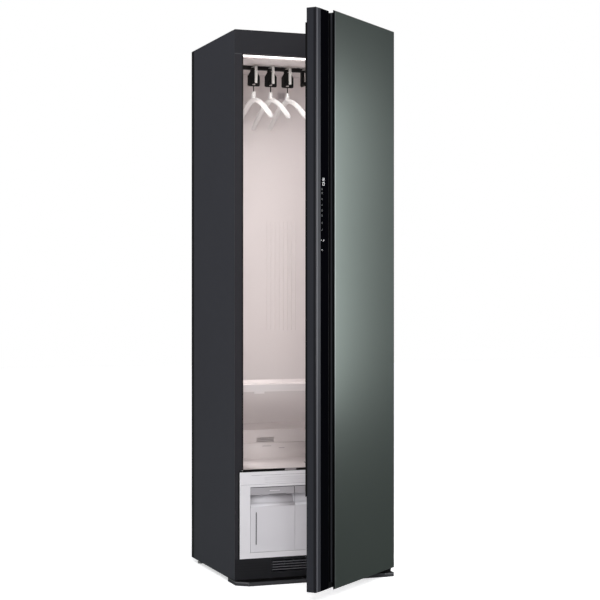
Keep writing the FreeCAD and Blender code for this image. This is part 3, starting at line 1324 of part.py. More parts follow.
# Door
def door_frame():
    """Hollow door shell, open at the back: sloping free edge, cut-back heel, handle groove, hinge corners."""
    heel = s.heel_chamfer
    outer = ((-half, door_back), (-half, door_front + s.bevel_drop), (s.bevel_width - half, door_front),
             (half, door_front), (half, door_back - heel), (half - heel, door_back))
    wall = s.door_wall
    skin = door_front + s.door_skin
    inner = ((wall - half, door_back + 1), (wall - half, skin), (half - wall, skin),
             (half - wall, door_back - heel - wall),
             (half - heel - wall, door_back + 1))
    shell = cut("DoorShell", profile("DoorOutside", "XY_Plane", outer, s.door_bottom, door_top),
                profile("DoorInside", "XY_Plane", inner, s.door_bottom + wall, door_top - wall))
    notch_left = hinge_x - s.notch_reach
    across, deep = (notch_left, half - wall), (skin, door_back - heel)
    lower = block("LowerCorner", across, deep, (s.door_bottom, s.door_bottom + s.bush_length + wall))
    upper = block("UpperCorner", across, deep, (notch_floor - s.bush_length - wall, notch_floor))
    side = block("NotchSide", (notch_left - wall, notch_left), (skin, door_back),
                 (notch_floor - s.bush_length - wall, door_top))
    solid = fuse("DoorSolid", shell, lower, upper, side)
    notch = block("HingeNotch", (notch_left, half + 1), (door_front - 1, 1), (notch_floor, door_top + 1))
    groove = block("HandleGroove", (glass_left - s.groove_width, glass_left),
                   (door_front - 1, door_front + s.groove_depth),
                   (s.door_bottom - 1, door_top + 1))
    strip = block("StripSeat", (s.strip_inset - half, glass_left - s.groove_width),
                  (door_front - 1, door_front + s.strip_glass), (s.door_bottom - 1, door_top + 1))
    bore = rod("BushSeat", s.bush_radius + s.running_fit, (hinge_x, hinge_y), s.door_bottom - 1,
               notch_floor + 1)
    on_door("door_frame", cut("DoorFrame", solid, notch, groove, strip, bore))


def handle_channel():
    """Dark lining of the handle groove, which the fingers reach into."""
    wall = s.channel_wall
    left, right = glass_left - s.groove_width, glass_left
    back = door_front + s.groove_depth
    corners = ((left, door_front), (left, back), (right, back), (right, door_front),
               (right - wall, door_front),
               (right - wall, back - wall), (left + wall, back - wall), (left + wall, door_front))
    on_door("handle_channel", profile("Channel", "XY_Plane", corners, s.door_bottom, door_top))


def control_strip():
    left = s.strip_inset - half
    corners = ((left, door_front), (left + s.strip_width, door_front),
               (left + s.strip_width, door_front + s.strip_glass), (left, door_front + s.strip_glass))
    on_door("control_strip", profile("Strip", "XY_Plane", corners, s.door_bottom, door_top))


def display_board():
    """Circuit board behind the control strip."""
    left = s.strip_inset - half + s.door_wall
    back = door_front + s.door_skin + s.strip_glass
    corners = ((left, back - s.channel_wall), (left + s.strip_width - 2 * s.door_wall, back - s.channel_wall),
               (left + s.strip_width - 2 * s.door_wall, back), (left, back))
    on_door("display_board", profile("Board", "XY_Plane", corners, s.display_bottom,
                                     s.display_bottom + s.display_height))


def glass_panel():
    """The glass front, a little taller than the frame behind it, bevelled all round its face."""
    right = half - s.glass_hinge_inset
    front = door_front - s.glass_thickness
    corners = ((glass_left, front), (right, front), (right, door_front), (glass_left, door_front))
    body = profile("Glass", "XY_Plane", corners, s.door_bottom - s.glass_overhang,
                   door_top + s.glass_overhang)
    face = float(front)
    on_door("glass_panel", dress(body, "Chamfer", s.glass_bevel,
                                 lambda edge: all(abs(point.Point.y - face) < 0.01
                                                  for point in edge.Vertexes)))


def door_liner():
    """Moulded back of the door: a flat rim inside the frame and a raised middle that enters the chamber."""
    gap = s.seam + s.door_wall
    sheet_y = (door_back - s.door_liner_sheet, door_back)
    flat = block("LinerFlat", (gap - half, half - s.heel_chamfer - gap), sheet_y,
                 (s.door_bottom + gap, door_top - gap))
    corner = block("LinerCorner", (hinge_x - s.notch_reach - gap, half), (sheet_y[0] - 1, 1),
                   (notch_floor - s.bush_length - gap, door_top))
    rim = cut("LinerRim", flat, corner)
    reach = half - s.bulge_inset
    bulge = block("LinerBulge", (-reach, reach), (door_back - s.door_liner_sheet, s.bulge_depth),
                  (s.bulge_bottom, bulge_top))
    wall = s.door_liner_sheet
    hollow = block("LinerHollow", (wall - reach, reach - wall), (door_back - wall - 1, s.bulge_depth - wall),
                   (s.bulge_bottom + wall, bulge_top - wall))
    on_door("door_liner", cut("DoorLiner", fuse("DoorLinerSolid", rim, bulge), hollow))


def door_gasket():
    """Magnetic gasket all round the chamber opening, kept on the free side of the hinge axis."""
    left = s.gasket_inset - half
    right = hinge_x - s.gasket_inset
    y = (door_back, -s.gasket_gap)
    width = s.gasket_width
    outside = block("GasketOutside", (left, right), y, (s.gasket_bottom, gasket_top))
    inside = block("GasketInside", (left + width, right - width), (y[0] - 1, y[1] + 1),
                   (s.gasket_bottom + width, gasket_top - width))
    on_door("door_gasket", cut("Gasket", outside, inside))


# Trouser press inside the door
def press_board():
    """Flat board on the door liner, with two lugs for the cover's pins."""
    y = (press_face, press_face + s.press_board)
    z = (s.press_bottom, s.press_bottom + s.press_height)
    board = block("PressPlate", (press_left, s.press_width / 2), y, z)
    reach = s.barrel_radius
    lugs = [block("PressLug", (s.press_width / 2, press_axis_x + reach), (press_face, press_axis_y + reach),
                  (low, low + s.lug_height)) for low in (z[0], z[1] - s.lug_height)]
    bore = rod("PressBore", s.press_pin + s.running_fit, (press_axis_x, press_axis_y), z[0] - 1, z[1] + 1)
    on_door("press_board", cut("PressBoard", fuse("PressBoardSolid", board, *lugs), bore))


def press_cover():
    """Hinged cover that holds the trousers flat against the board, with a finger rim on its free edge."""
    low = press_face + s.press_board + s.press_gap
    y = (low, low + s.press_cover)
    gap = s.lug_height + s.press_gap
    z = (s.press_bottom + gap, s.press_bottom + s.press_height - gap)
    plate = block("CoverPlate", (press_left, press_axis_x), y, z)
    barrel = rod("CoverBarrel", s.barrel_radius, (press_axis_x, press_axis_y), *z)
    pins = rod("CoverPins", s.press_pin, (press_axis_x, press_axis_y), s.press_bottom,
               s.press_bottom + s.press_height)
    middle = s.press_bottom + s.press_height / 2
    rim = block("CoverRim", (press_left - s.finger_width, press_left), y,
                (middle - s.finger_height / 2, middle + s.finger_height / 2))
    on_door("press_cover", fuse("PressCover", plate, barrel, pins, rim))


def build():
    front_stand()
    rear_feet()
    base_pan()
    side_panels()
    top_panel()
    back_panel()
    header_cover()
    front_stiles()
    wall_insulation()
    chamber_liner()
    duct_cover()
    air_sensor_cover()
    lamp_lens()
    drive_cover()
    shelf_supports()
    shelf()
    lint_filter()
    hanger_rail()
    rail_guides()
    hanger_holders()
    holder_gates()
    drive_crank()
    drive_motor()
    for number, place in enumerate(holder_places()[:HANGERS], start=1):
        hanger(number, place)
    module_front()
    intake_grille()
    tank_bay()
    water_tanks()
    kick_panel()
    compressor()
    heat_exchangers()
    fan_housing()
    fan_wheel()
    fan_motor()
    steam_generator()
    water_pump()
    water_hoses()
    doc.recompute()
    refrigerant_pipes()
    control_box()
    cord_gland()
    hinge_brackets()
    hinge_bushes()
    door_frame()
    handle_channel()
    control_strip()
    display_board()
    glass_panel()
    door_liner()
    door_gasket()
    press_board()
    press_cover()


def check_document():
    """Stop before anything is written if a feature failed or a sub-part has no valid solid."""
    for item in doc.Objects:
        if "Invalid" in item.State or "Error" in item.State:
            raise RuntimeError(f"{item.Name} ({item.Label}) failed: {item.State}")
    for node in nodes:
        if node.Shape.isNull() or not node.Shape.isValid() or not node.Shape.Solids:
            raise RuntimeError(f"{node.Label} has no valid solid")


def write_steps():
    os.makedirs("parts", exist_ok=True)
    for node in nodes:
        node.Shape.exportStep(f"parts/{node.Label}.step")
        box = node.Shape.BoundBox
        spans = (("x", box.XMin, box.XMax), ("y", box.YMin, box.YMax), ("z", box.ZMin, box.ZMax))
        places = " ".join(f"{letter} {low:.1f}..{high:.1f}" for letter, low, high in spans)
        print(f"{node.Label}: {len(node.Shape.Solids)} solid(s), {node.Shape.Volume / 1000:.1f} cm3, {places}")
    print(len(nodes), "nodes")


build()
doc.recompute()
check_document()
write_steps()
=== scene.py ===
# %% [markdown]
# # Dressing a clothes care cabinet
#
# The solids of this cabinet come from a CAD source, already in metres and in the right place. Here they
# get their finishes, and the pieces that a solid modeller leaves plain: the satin glass of the door,
# the lit figures of its display, pressed ribs, fins, wires and seams. The floor is z = 0, +X is to the
# right as one faces the door, and +Y runs from the door to the back.

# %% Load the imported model
import json
import math
import bmesh
import bpy
from mathutils import Matrix, Vector


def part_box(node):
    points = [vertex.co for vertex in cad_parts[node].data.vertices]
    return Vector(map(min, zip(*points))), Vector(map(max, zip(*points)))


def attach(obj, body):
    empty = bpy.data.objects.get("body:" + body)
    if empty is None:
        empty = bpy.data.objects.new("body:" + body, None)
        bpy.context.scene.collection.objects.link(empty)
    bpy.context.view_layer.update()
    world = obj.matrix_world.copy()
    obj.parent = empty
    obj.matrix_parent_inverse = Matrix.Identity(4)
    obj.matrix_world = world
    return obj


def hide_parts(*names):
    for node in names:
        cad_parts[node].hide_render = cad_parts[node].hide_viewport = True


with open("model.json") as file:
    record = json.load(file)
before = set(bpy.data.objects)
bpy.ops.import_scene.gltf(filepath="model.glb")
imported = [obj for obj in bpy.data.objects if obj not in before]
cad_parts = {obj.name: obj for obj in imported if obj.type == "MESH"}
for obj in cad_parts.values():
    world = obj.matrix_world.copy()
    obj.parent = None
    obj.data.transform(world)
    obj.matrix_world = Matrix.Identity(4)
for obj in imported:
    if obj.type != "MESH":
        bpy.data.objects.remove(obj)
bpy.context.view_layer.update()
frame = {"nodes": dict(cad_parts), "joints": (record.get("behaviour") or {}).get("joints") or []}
nodes = frame["nodes"]
scene = bpy.context.scene
swing_joint = next(joint for joint in frame["joints"] if joint["name"] == "door_swing")
PIVOT = Vector(swing_joint["pos_m"])
MM = 0.001
print("pieces in the model:", len(nodes), "door hinge at", tuple(round(c, 3) for c in PIVOT))

# %% [markdown]
# ## The camera
#
# A tall product is pictured with a level camera, so that its upright edges stay parallel, and from far
# enough away that the near edge of the door isn't blown up. The lens is given in pixels per radian and
# turned into a focal length for a 36 mm wide sensor.

# %% Camera at the front left, level with the middle of the cabinet
IMAGE = 600
FOCAL_PIXELS = 1509.16
CENTRE_X, CENTRE_Y = 300.03, 296.28
CAMERA_PLACE, CAMERA_TURN = (-1.9252, -4.9994, 1.0078), 20.515
camera_data = bpy.data.cameras.new("product_camera")
camera_data.sensor_width = 36.0
camera_data.lens = FOCAL_PIXELS / IMAGE * camera_data.sensor_width
camera_data.shift_x = (IMAGE / 2 - CENTRE_X) / IMAGE
camera_data.shift_y = (CENTRE_Y - IMAGE / 2) / IMAGE
camera_data.clip_end = 60.0
camera = bpy.data.objects.new("product_camera", camera_data)
camera.location = CAMERA_PLACE
camera.rotation_euler = (math.radians(90), 0, -math.radians(CAMERA_TURN))
scene.collection.objects.link(camera)
scene.camera = camera
scene.view_settings.view_transform = "Standard"
print("lens", round(camera_data.lens, 2), "mm")

# %% [markdown]
# ## Writing node trees as sums
#
# Clicking nodes together hides what a material does. A small class wraps one output of a node, and lets
# Python's own plus, minus and times build the Math nodes. Everything else comes from one method that
# takes a node's type, what goes into its sockets and its settings. The same class serves materials, the
# world and Geometry Nodes.

# %% A wire and the graph it belongs to
class Wire:
    """One output of a node, which can be used in a Python sum."""

    def __init__(self, graph, socket):
        self.graph = graph
        self.socket = socket

    def __add__(self, other):
        return self.graph.sum("ADD", self, other)

    __radd__ = __add__

    def __sub__(self, other):
        return self.graph.sum("SUBTRACT", self, other)

    def __rsub__(self, other):
        return self.graph.sum("SUBTRACT", other, self)

    def __mul__(self, other):
        return self.graph.sum("MULTIPLY", self, other)

    __rmul__ = __mul__


class Graph:
    """A node tree that is filled by Python expressions."""

    def __init__(self, tree):
        self.tree = tree

    def node(self, kind, sockets=None, output=0, **settings):
        made = self.tree.nodes.new(kind)
        for name, value in settings.items():
            setattr(made, name, value)
        for name, value in (sockets or {}).items():
            if isinstance(value, Wire):
                self.tree.links.new(value.socket, made.inputs[name])
            else:
                made.inputs[name].default_value = value
        return Wire(self, made.outputs[output]) if made.outputs else made

    def sum(self, operation, left, right):
        return self.node("ShaderNodeMath", {0: left, 1: right}, operation=operation)

    def place(self):
        """Object coordinates."""
        return self.node("ShaderNodeTexCoord", output="Object")


FINISHES = {}


def as_material(fill):
    """Turn a function that fills a graph into one that makes a material and keeps it under its name."""
    def make(name, *values, **fixed):
        material = FINISHES[name] = bpy.data.materials.new(name)
        material.use_nodes = True
        material.node_tree.nodes.clear()
        fill(Graph(material.node_tree), *values, **fixed)
        return material
    return make


# %% [markdown]
# ## The studio
#
# The cabinet stands on a white floor in front of white. The light is a soft even sky with one large
# lamp above the camera. A dark satin door shows what stands beside it: a tall soft box near the door
# gives it one long highlight, and grey walls and a felt mat outside the picture keep the rest of it
# dark. Walls and mat are only there for reflections: they cast no shadow, and the camera doesn't see
# them.

# %% World: white to look at, softer as light
world = bpy.data.worlds.new("studio")
scene.world = world
world.use_nodes = True
world.node_tree.nodes.clear()
sky = Graph(world.node_tree)


def shows_background(graph):
    """1 for what the camera sees, directly or in a mirror or through glass."""
    seen = graph.node("ShaderNodeLightPath", output="Is Camera Ray")
    shiny = graph.node("ShaderNodeLightPath", output="Is Glossy Ray")
    through = graph.node("ShaderNodeLightPath", output="Is Transmission Ray")
    return graph.sum("MAXIMUM", graph.sum("MAXIMUM", seen, shiny), through)


SKY_LIGHT = 0.62
soft = sky.node("ShaderNodeBackground", {"Color": (0.96, 0.97, 1.0, 1), "Strength": SKY_LIGHT})
white = sky.node("ShaderNodeBackground", {"Color": (1, 1, 1, 1), "Strength": 1.0})
mixed = sky.node("ShaderNodeMixShader", {0: shows_background(sky), 1: soft, 2: white})
sky.node("ShaderNodeOutputWorld", {"Surface": mixed})
print("sky light", SKY_LIGHT)

# %% Floor
def set_piece(name, corners, faces, make_finish):
    """A simple surface of the studio with a material of its own."""
    mesh = bpy.data.meshes.new(name)
    mesh.from_pydata(corners, [], faces)
    mesh.materials.append(make_finish(name))
    thing = bpy.data.objects.new(name, mesh)
    scene.collection.objects.link(thing)
    return thing


def noise(graph, place, scale, detail=2.0):
    return graph.node("ShaderNodeTexNoise", {"Vector": place, "Scale": scale, "Detail": detail})


@as_material
def floor_finish(graph):
    """Matt white board, lifted for the camera so that it runs into the white background."""
    speck = noise(graph, graph.place(), 400.0)
    bump = graph.node("ShaderNodeBump", {"Strength": 0.1, "Distance": 0.0002, "Height": speck})
    board = graph.node("ShaderNodeBsdfDiffuse", {"Color": (0.9, 0.9, 0.9, 1), "Roughness": 0.5,
                                                 "Normal": bump})
    lift = graph.node("ShaderNodeEmission", {"Strength": shows_background(graph) * 0.52})
    both = graph.node("ShaderNodeAddShader", {0: board, 1: lift})
    graph.node("ShaderNodeOutputMaterial", {"Surface": both})


REACH = 16.0
FLOOR_CORNERS = [(-REACH, -REACH, 0), (REACH, -REACH, 0), (REACH, REACH, 0), (-REACH, REACH, 0)]
set_piece("studio_floor", FLOOR_CORNERS, [(0, 1, 2, 3)], floor_finish)
print("floor", 2 * REACH, "m wide")

# %% Walls that only reflections see
WALL_RADIUS, WALL_HEIGHT, WALL_STEPS = 4.5, 6.0, 48


def step(graph, value, low, high):
    """0 at low and before it, 1 at high and past it, smooth in between."""
    return graph.node("ShaderNodeMapRange",
                      {"Value": value, "From Min": low, "From Max": high, "To Min": 0.0, "To Max": 1.0},
                      interpolation_type="SMOOTHSTEP")


@as_material
def wall_finish(graph):
    """Dark grey round the sides and the back, paler behind the camera."""
    depth = graph.node("ShaderNodeSeparateXYZ", {"Vector": graph.place()}, "Y")
    strength = step(graph, depth, -1.5, -4.2) * 0.4 + 0.1
    glow = graph.node("ShaderNodeEmission", {"Color": (0.95, 0.97, 1.0, 1), "Strength": strength})
    graph.node("ShaderNodeOutputMaterial", {"Surface": glow})


ring = [(WALL_RADIUS * math.cos(turn), WALL_RADIUS * math.sin(turn))
        for turn in (index * math.tau / WALL_STEPS for index in range(WALL_STEPS))]
wall_points = [(x, y, 0) for x, y in ring] + [(x, y, WALL_HEIGHT) for x, y in ring]
wall_faces = [(a, (a + 1) % WALL_STEPS, (a + 1) % WALL_STEPS + WALL_STEPS, a + WALL_STEPS)
              for a in range(WALL_STEPS)]
walls = set_piece("studio_walls", wall_points, wall_faces, wall_finish)
print("walls at", WALL_RADIUS, "m")


@as_material
def mat_finish(graph):
    """Dark felt."""
    strength = noise(graph, graph.place(), 60.0) * 0.04 + 0.105
    felt = graph.node("ShaderNodeEmission", {"Color": (0.9, 1.0, 0.95, 1), "Strength": strength})
    graph.node("ShaderNodeOutputMaterial", {"Surface": felt})


MAT_HEIGHT = 0.001
mat_points = [(x, y, MAT_HEIGHT) for x, y in ring]
mat = set_piece("studio_mat", mat_points, [tuple(range(WALL_STEPS))], mat_finish)
for screen in (walls, mat):
    screen.visible_camera = False
    screen.visible_diffuse = False
    screen.visible_transmission = False
    screen.visible_shadow = False

# %% Lamps
def lamp(name, place, target, width, height, watts, colour=(1, 1, 1)):
    """A rectangular soft lamp that faces a target."""
    data = bpy.data.lights.new(name, "AREA")
    data.shape = "RECTANGLE"
    data.size, data.size_y = width, height
    data.energy = watts
    data.color = colour
    thing = bpy.data.objects.new(name, data)
    thing.location = place
    thing.rotation_euler = (Vector(target) - Vector(place)).to_track_quat("-Z", "Y").to_euler()
    scene.collection.objects.link(thing)
    return thing


lamp("key_lamp", (-1.8, -4.9, 3.4), (0, 0, 1.0), 2.4, 2.4, 122)
lamp("door_soft_box", (1.3, -0.49, 1.23), (0.1, -0.3, 1.23), 0.46, 1.3, 18.5, (0.98, 1.0, 1.0))
under_ceiling = lamp("chamber_lamp", (0.0, 0.074, 1.852), (0.0, 0.20, 0.4), 0.46, 0.05, 0.9,
                     (1, 0.985, 0.975))
left_wall = lamp("chamber_side_panel", (-0.258, 0.19, 1.08), (0.0, 0.24, 1.08), 0.30, 1.25, 4.5,
                 (1, 0.985, 0.98))
for hidden in (under_ceiling, left_wall):
    hidden.visible_camera = False
    hidden.visible_glossy = False

# %% [markdown]
# ## Finishes
#
# Every finish reads the object's own coordinates, so it stays on the piece when the door swings. Two
# kinds cover most of the cabinet. Moulded plastic has a spark-eroded grain that shows only from near,
# and its colour drifts slightly over a large part. Painted sheet has the orange peel of a coating.

# %% Helpers for finishes
def shade(red, green, blue):
    """A colour given as on a screen, 0 to 255, as the linear values that shaders use."""
    return tuple(((c / 255 + 0.055) / 1.055) ** 2.4 if c > 10 else c / 255 / 12.92
                 for c in (red, green, blue)) + (1.0,)


def scaled(colour, factor):
    return tuple(min(1.0, c * factor) for c in colour[:3]) + (1.0,)


def place_in(graph, turn=0.0, stretch=(1, 1, 1)):
    """Object coordinates, turned about Z and stretched."""
    return graph.node("ShaderNodeMapping", {"Vector": graph.place(), "Rotation": (0, 0, turn),
                                            "Scale": stretch})


def between(graph, factor, low, high):
    """A colour on the way from low to high."""
    return graph.node("ShaderNodeMix", {0: factor, 6: low, 7: high}, 2, data_type="RGBA")


def finish(graph, colour, roughness, height=None, depth=0.0, **fixed):
    """The surface shader: colour, roughness and height may vary, the rest is fixed on it."""
    sockets = {"Base Color": colour, "Roughness": roughness}
    sockets.update({name.replace("_", " "): value for name, value in fixed.items()})
    if height is not None:
        sockets["Normal"] = graph.node("ShaderNodeBump", {"Strength": 1.0, "Distance": depth,
                                                          "Height": height}, "Normal")
    shader = graph.node("ShaderNodeBsdfPrincipled", sockets)
    graph.node("ShaderNodeOutputMaterial", {"Surface": shader})


@as_material
def moulded(graph, colour, roughness, grain=1400.0, depth=0.00002, **fixed):
    """Moulded plastic: fine grain, and a colour that drifts a little."""
    place = place_in(graph)
    drift = noise(graph, place, 2.5)
    fine = noise(graph, place, grain)
    tint = between(graph, drift, scaled(colour, 0.93), scaled(colour, 1.07))
    finish(graph, tint, drift * 0.06 + fine * 0.10 + (roughness - 0.08), fine, depth, **fixed)


def spot_along(graph, letter):
    """How far along one axis of the object a point lies, in millimetres."""
    place = place_in(graph, stretch=(1000, 1000, 1000))
    return graph.node("ShaderNodeSeparateXYZ", {"Vector": place}, letter)


def band(graph, value, low, high, soft=0.4):
    """1 between low and high, 0 outside, with soft edges."""
    past_high = step(graph, value, high - soft, high + soft)
    return step(graph, value, low - soft, low + soft) * (1 - past_high)


@as_material
def coated(graph, colour, roughness, marks=(), peel=420.0, depth=0.00004, **fixed):
    """Coated steel: orange peel with a much finer speckle of pigment. marks are pairs of a mask, which
    the graph builds, and the colour that it brings."""
    place = place_in(graph)
    ripple = noise(graph, place, peel, 1.0)
    speck = noise(graph, place, 3200.0, 1.0)
    cloud = noise(graph, place, 1.6)
    tint = between(graph, speck * 0.5 + cloud * 0.5, scaled(colour, 0.88), scaled(colour, 1.12))
    for mask, mark_colour in marks:
        tint = between(graph, mask(graph), tint, mark_colour)
    finish(graph, tint, cloud * 0.08 + ripple * 0.08 + (roughness - 0.08), ripple, depth, **fixed)


# %% [markdown]
# ## Paint, with painted highlights and shadows on folded steel
#
# A folded sheet catches light along its bend, and neighbouring sheets meet in fine seams. Such lines are
# thinner than anything worth modelling, so the paint carries them: painted highlights on the bends, on
# the seam under the header and on the ends of the stand, and painted shadow where narrow gaps are dark,
# at the casing's foot and over the stand. Masks read the point's place on the object in millimetres.
# The chamber's opening is edged in black. The kick panel has painted shade in fine pressed lines beside
# its air slots, and a painted highlight on the slats between the slots, where they round over. The
# header and stiles take darker copies of the casing's charcoal: painted shade on the front.

# %% Paints, each with its own marks
CHAMBER_HALF, MODULE_HALF, MODULE_TOP, EDGE_BAND = 266.0, 279.0, 393.0, 5.0
HEADER_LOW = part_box("header_cover")[0][2] / MM
SLATS = (45.0, 54.0, 63.0, 72.0)


def across_from_middle(graph):
    """How far a point is from the cabinet's middle plane."""
    return graph.sum("ABSOLUTE", spot_along(graph, "X"), 0.0)


def all_of(masks):
    """Masks that don't overlap, as one."""
    return sum(masks[1:], masks[0])


def painted_bend_highlight(graph):
    """Painted highlight on the folded front edge of a side panel, where the bend catches light."""
    return band(graph, spot_along(graph, "Y"), -2.0, 6.0)


def rear_bend(graph):
    """Black along the rear edge of a side panel."""
    return step(graph, spot_along(graph, "Y"), 497.0, 499.0)


def painted_foot_shadow(graph):
    """Painted shadow at the foot of the front edge, in front of the stand's end, where the gap over the
    stand is dark.
    """
    low = 1 - step(graph, spot_along(graph, "Z"), 18.0, 19.0)
    return low * (1 - step(graph, spot_along(graph, "Y"), 70.0, 90.0))


coated("casing_paint", shade(62, 63, 70), 0.5,
       [(painted_bend_highlight, shade(78, 79, 84)), (rear_bend, shade(15, 15, 19)),
        (painted_foot_shadow, shade(10, 10, 12))],
       Specular_IOR_Level=0.35)


def opening_edge(graph):
    """The stile's last millimetres beside the chamber, and below it beside the wider white module."""
    across = across_from_middle(graph)
    above = step(graph, spot_along(graph, "Z"), MODULE_TOP, MODULE_TOP + 1.0)
    edge = (MODULE_HALF - CHAMBER_HALF) * (1 - above) + (CHAMBER_HALF + EDGE_BAND)
    return 1 - step(graph, across - edge, -0.5, 0.5)


def painted_seam_highlight(graph):
    """Painted highlight along the seam under the header, at the top of both stiles."""
    return band(graph, spot_along(graph, "Z"), HEADER_LOW - 3.0, HEADER_LOW + 1.0)


# The header and stiles take darker copies of the casing's charcoal: painted shade on the front.
coated("front_paint", shade(37, 37, 42), 0.5, Specular_IOR_Level=0.3)
coated("stile_paint", shade(43, 42, 47), 0.5,
       [(painted_seam_highlight, shade(70, 70, 74)), (opening_edge, shade(14, 13, 15))], Specular_IOR_Level=0.3)


def painted_slat_highlight(graph):
    """Painted highlight on the four slats between the air slots of the kick panel, where they round
    over.
    """
    up = spot_along(graph, "Z")
    rows = [band(graph, up, low + 0.7, low + 3.8, 0.5) for low in SLATS]
    across = across_from_middle(graph)
    return all_of(rows) * (1 - step(graph, across, 157.0, 159.0))


def painted_groove_shade(graph):
    """Painted shade in pressed level lines beside the air slots."""
    up = spot_along(graph, "Z")
    return all_of([band(graph, up, low + 1.5, low + 1.5 + 1.4) for low in SLATS])


coated("kick_paint", shade(31, 31, 35), 0.5,
       [(painted_groove_shade, shade(24, 24, 27)), (painted_slat_highlight, shade(98, 98, 102))], Specular_IOR_Level=0.3)


def painted_stand_shadow(graph):
    """Painted shadow on the stand's upper edge, for the shade of its undercut."""
    return step(graph, spot_along(graph, "Z"), 13.2, 14.2)


def painted_rim_highlight(graph):
    """Painted highlight on the upper edge of the stand's ends, where they round over."""
    ends = step(graph, across_from_middle(graph), 257.0, 259.0)
    return step(graph, spot_along(graph, "Z"), 8.5, 10.5) * ends * (1 - painted_stand_shadow(graph))


def stand_joint(graph):
    """The pale joint between the stand's middle and its left end."""
    return band(graph, spot_along(graph, "X"), -257.0, -254.6, 0.3) * (1 - painted_stand_shadow(graph))


coated("stand_plastic", shade(66, 66, 69), 0.5,
       [(painted_rim_highlight, shade(104, 104, 106)), (painted_stand_shadow, shade(9, 9, 10)),
        (stand_joint, shade(92, 92, 94))],
       Specular_IOR_Level=0.2)
coated("black_coat", shade(17, 15, 15), 0.5, Specular_IOR_Level=0.2)
print("paints:", len(bpy.data.materials))

# %% Plastics and rubber
moulded("black_plastic", shade(11, 10, 10), 0.5, Specular_IOR_Level=0.15)
moulded("chamber_plastic", shade(206, 199, 198), 0.42, 1100.0, 0.00003)
moulded("shelf_plastic", shade(226, 219, 218), 0.36)
moulded("grille_grey", shade(150, 143, 146), 0.5)
# A lighter copy of the grille grey for the air sensor cover: painted light against the shade it sits in.
moulded("sensor_plastic", shade(188, 182, 184), 0.45)
moulded("foot_grey", shade(168, 168, 166), 0.5)
moulded("filter_plastic", shade(120, 124, 128), 0.5)
moulded("gate_plastic", shade(164, 161, 158), 0.4)
moulded("module_plastic", shade(243, 241, 244), 0.3)
moulded("tank_plastic", shade(231, 229, 233), 0.34)
moulded("lid_plastic", shade(184, 181, 185), 0.4)
moulded("bay_plastic", shade(112, 110, 112), 0.55)
moulded("press_plastic", shade(200, 195, 193), 0.4, 1100.0, 0.00004)
moulded("hanger_plastic", shade(192, 189, 188), 0.34)
moulded("bush_plastic", shade(226, 224, 214), 0.35)
moulded("gasket_rubber", shade(11, 11, 12), 0.7, 700.0, 0.00006, Specular_IOR_Level=0.15)
moulded("mount_rubber", shade(28, 28, 28), 0.75, 500.0, 0.0001)
moulded("hose_rubber", shade(190, 190, 182), 0.45, 900.0, 0.00005)
print("with plastics and rubber:", len(bpy.data.materials))

# %% [markdown]
# ## Metals and special finishes
#
# Zinc on steel crystallises in large flat flakes, each with its own grey: a Voronoi pattern gives every
# cell a value. Rolled aluminium and drawn copper have streaks along one direction, which noise gives
# once its coordinates are stretched. Foam is a web of small cells.

# %% Metals, foam and the circuit board
@as_material
def galvanised(graph, colour):
    place = place_in(graph)
    warp = noise(graph, place, 30.0)
    flakes = graph.node("ShaderNodeTexVoronoi", {"Vector": place, "Scale": 90.0, "Randomness": 1.0},
                        "Color")
    grey = graph.node("ShaderNodeSeparateColor", {"Color": flakes}, 0)
    tint = between(graph, grey * 0.7 + warp * 0.3, scaled(colour, 0.8), scaled(colour, 1.15))
    finish(graph, tint, grey * 0.18 + 0.34, grey, 0.00001, Metallic=0.9)


@as_material
def streaked(graph, colour, roughness, stretch, metallic=1.0):
    place = place_in(graph, 0.0, stretch)
    streak = noise(graph, place, 220.0, 3.0)
    cloud = noise(graph, place, 14.0)
    tint = between(graph, streak * 0.6 + cloud * 0.4, scaled(colour, 0.82), scaled(colour, 1.12))
    finish(graph, tint, streak * 0.2 + (roughness - 0.1), streak, 0.00002, Metallic=metallic)


@as_material
def foam_finish(graph, colour):
    place = place_in(graph)
    cells = graph.node("ShaderNodeTexVoronoi", {"Vector": place, "Scale": 260.0}, "Distance")
    cloud = noise(graph, place, 20.0)
    tint = between(graph, cells * 0.8 + cloud * 0.2, scaled(colour, 1.05), scaled(colour, 0.7))
    finish(graph, tint, cells * 0.1 + 0.8, cells, 0.0006)


galvanised("pan_steel", shade(176, 178, 180))
galvanised("back_steel", shade(168, 170, 173))
streaked("plated_steel", shade(186, 186, 184), 0.34, (1, 1, 0.2))
streaked("motor_cast", shade(150, 151, 153), 0.5, (1, 1, 1), 0.8)
streaked("fin_aluminium", shade(205, 208, 210), 0.34, (1, 0.1, 1))
streaked("boiler_cast", shade(170, 171, 172), 0.5, (1, 1, 1), 0.8)
streaked("pipe_copper", shade(202, 122, 84), 0.3, (1, 1, 0.2))
streaked("board_green", shade(22, 92, 52), 0.35, (1, 1, 1), 0.0)
coated("compressor_paint", shade(22, 22, 23), 0.3, peel=160.0, depth=0.00008)
foam_finish("foam", shade(226, 214, 178))
print("finishes so far:", len(bpy.data.materials))

# %% [markdown]
# ## Glass of the door and the lamp lens
#
# The front is back-painted glass with an acid-etched face: it scatters a reflection into a broad glow
# and never shows a sharp image. The paint behind it has fine metal flake, so most of its colour comes
# from what it reflects. The control strip beside it is clear glass over black, with a polished face.

# %% Etched green glass, black glass, opal lens
DOOR_ANGLE = math.radians(41)
# Where the painted highlight on the door frame's bevel lies, in millimetres from the hinge axis.
BEVEL_HIGHLIGHT_START, BEVEL_HIGHLIGHT_END, BEVEL_HIGHLIGHT_DEPTH = -562.6, -555.0, -5.0
# Where the groove's right lip is painted paler, as a painted highlight.
LIT_LIP_START, LIT_LIP_END = -457.0, -455.5
# Where the pane's black border of painted shadow ends.
SHADOW_BORDER_END = -442.5


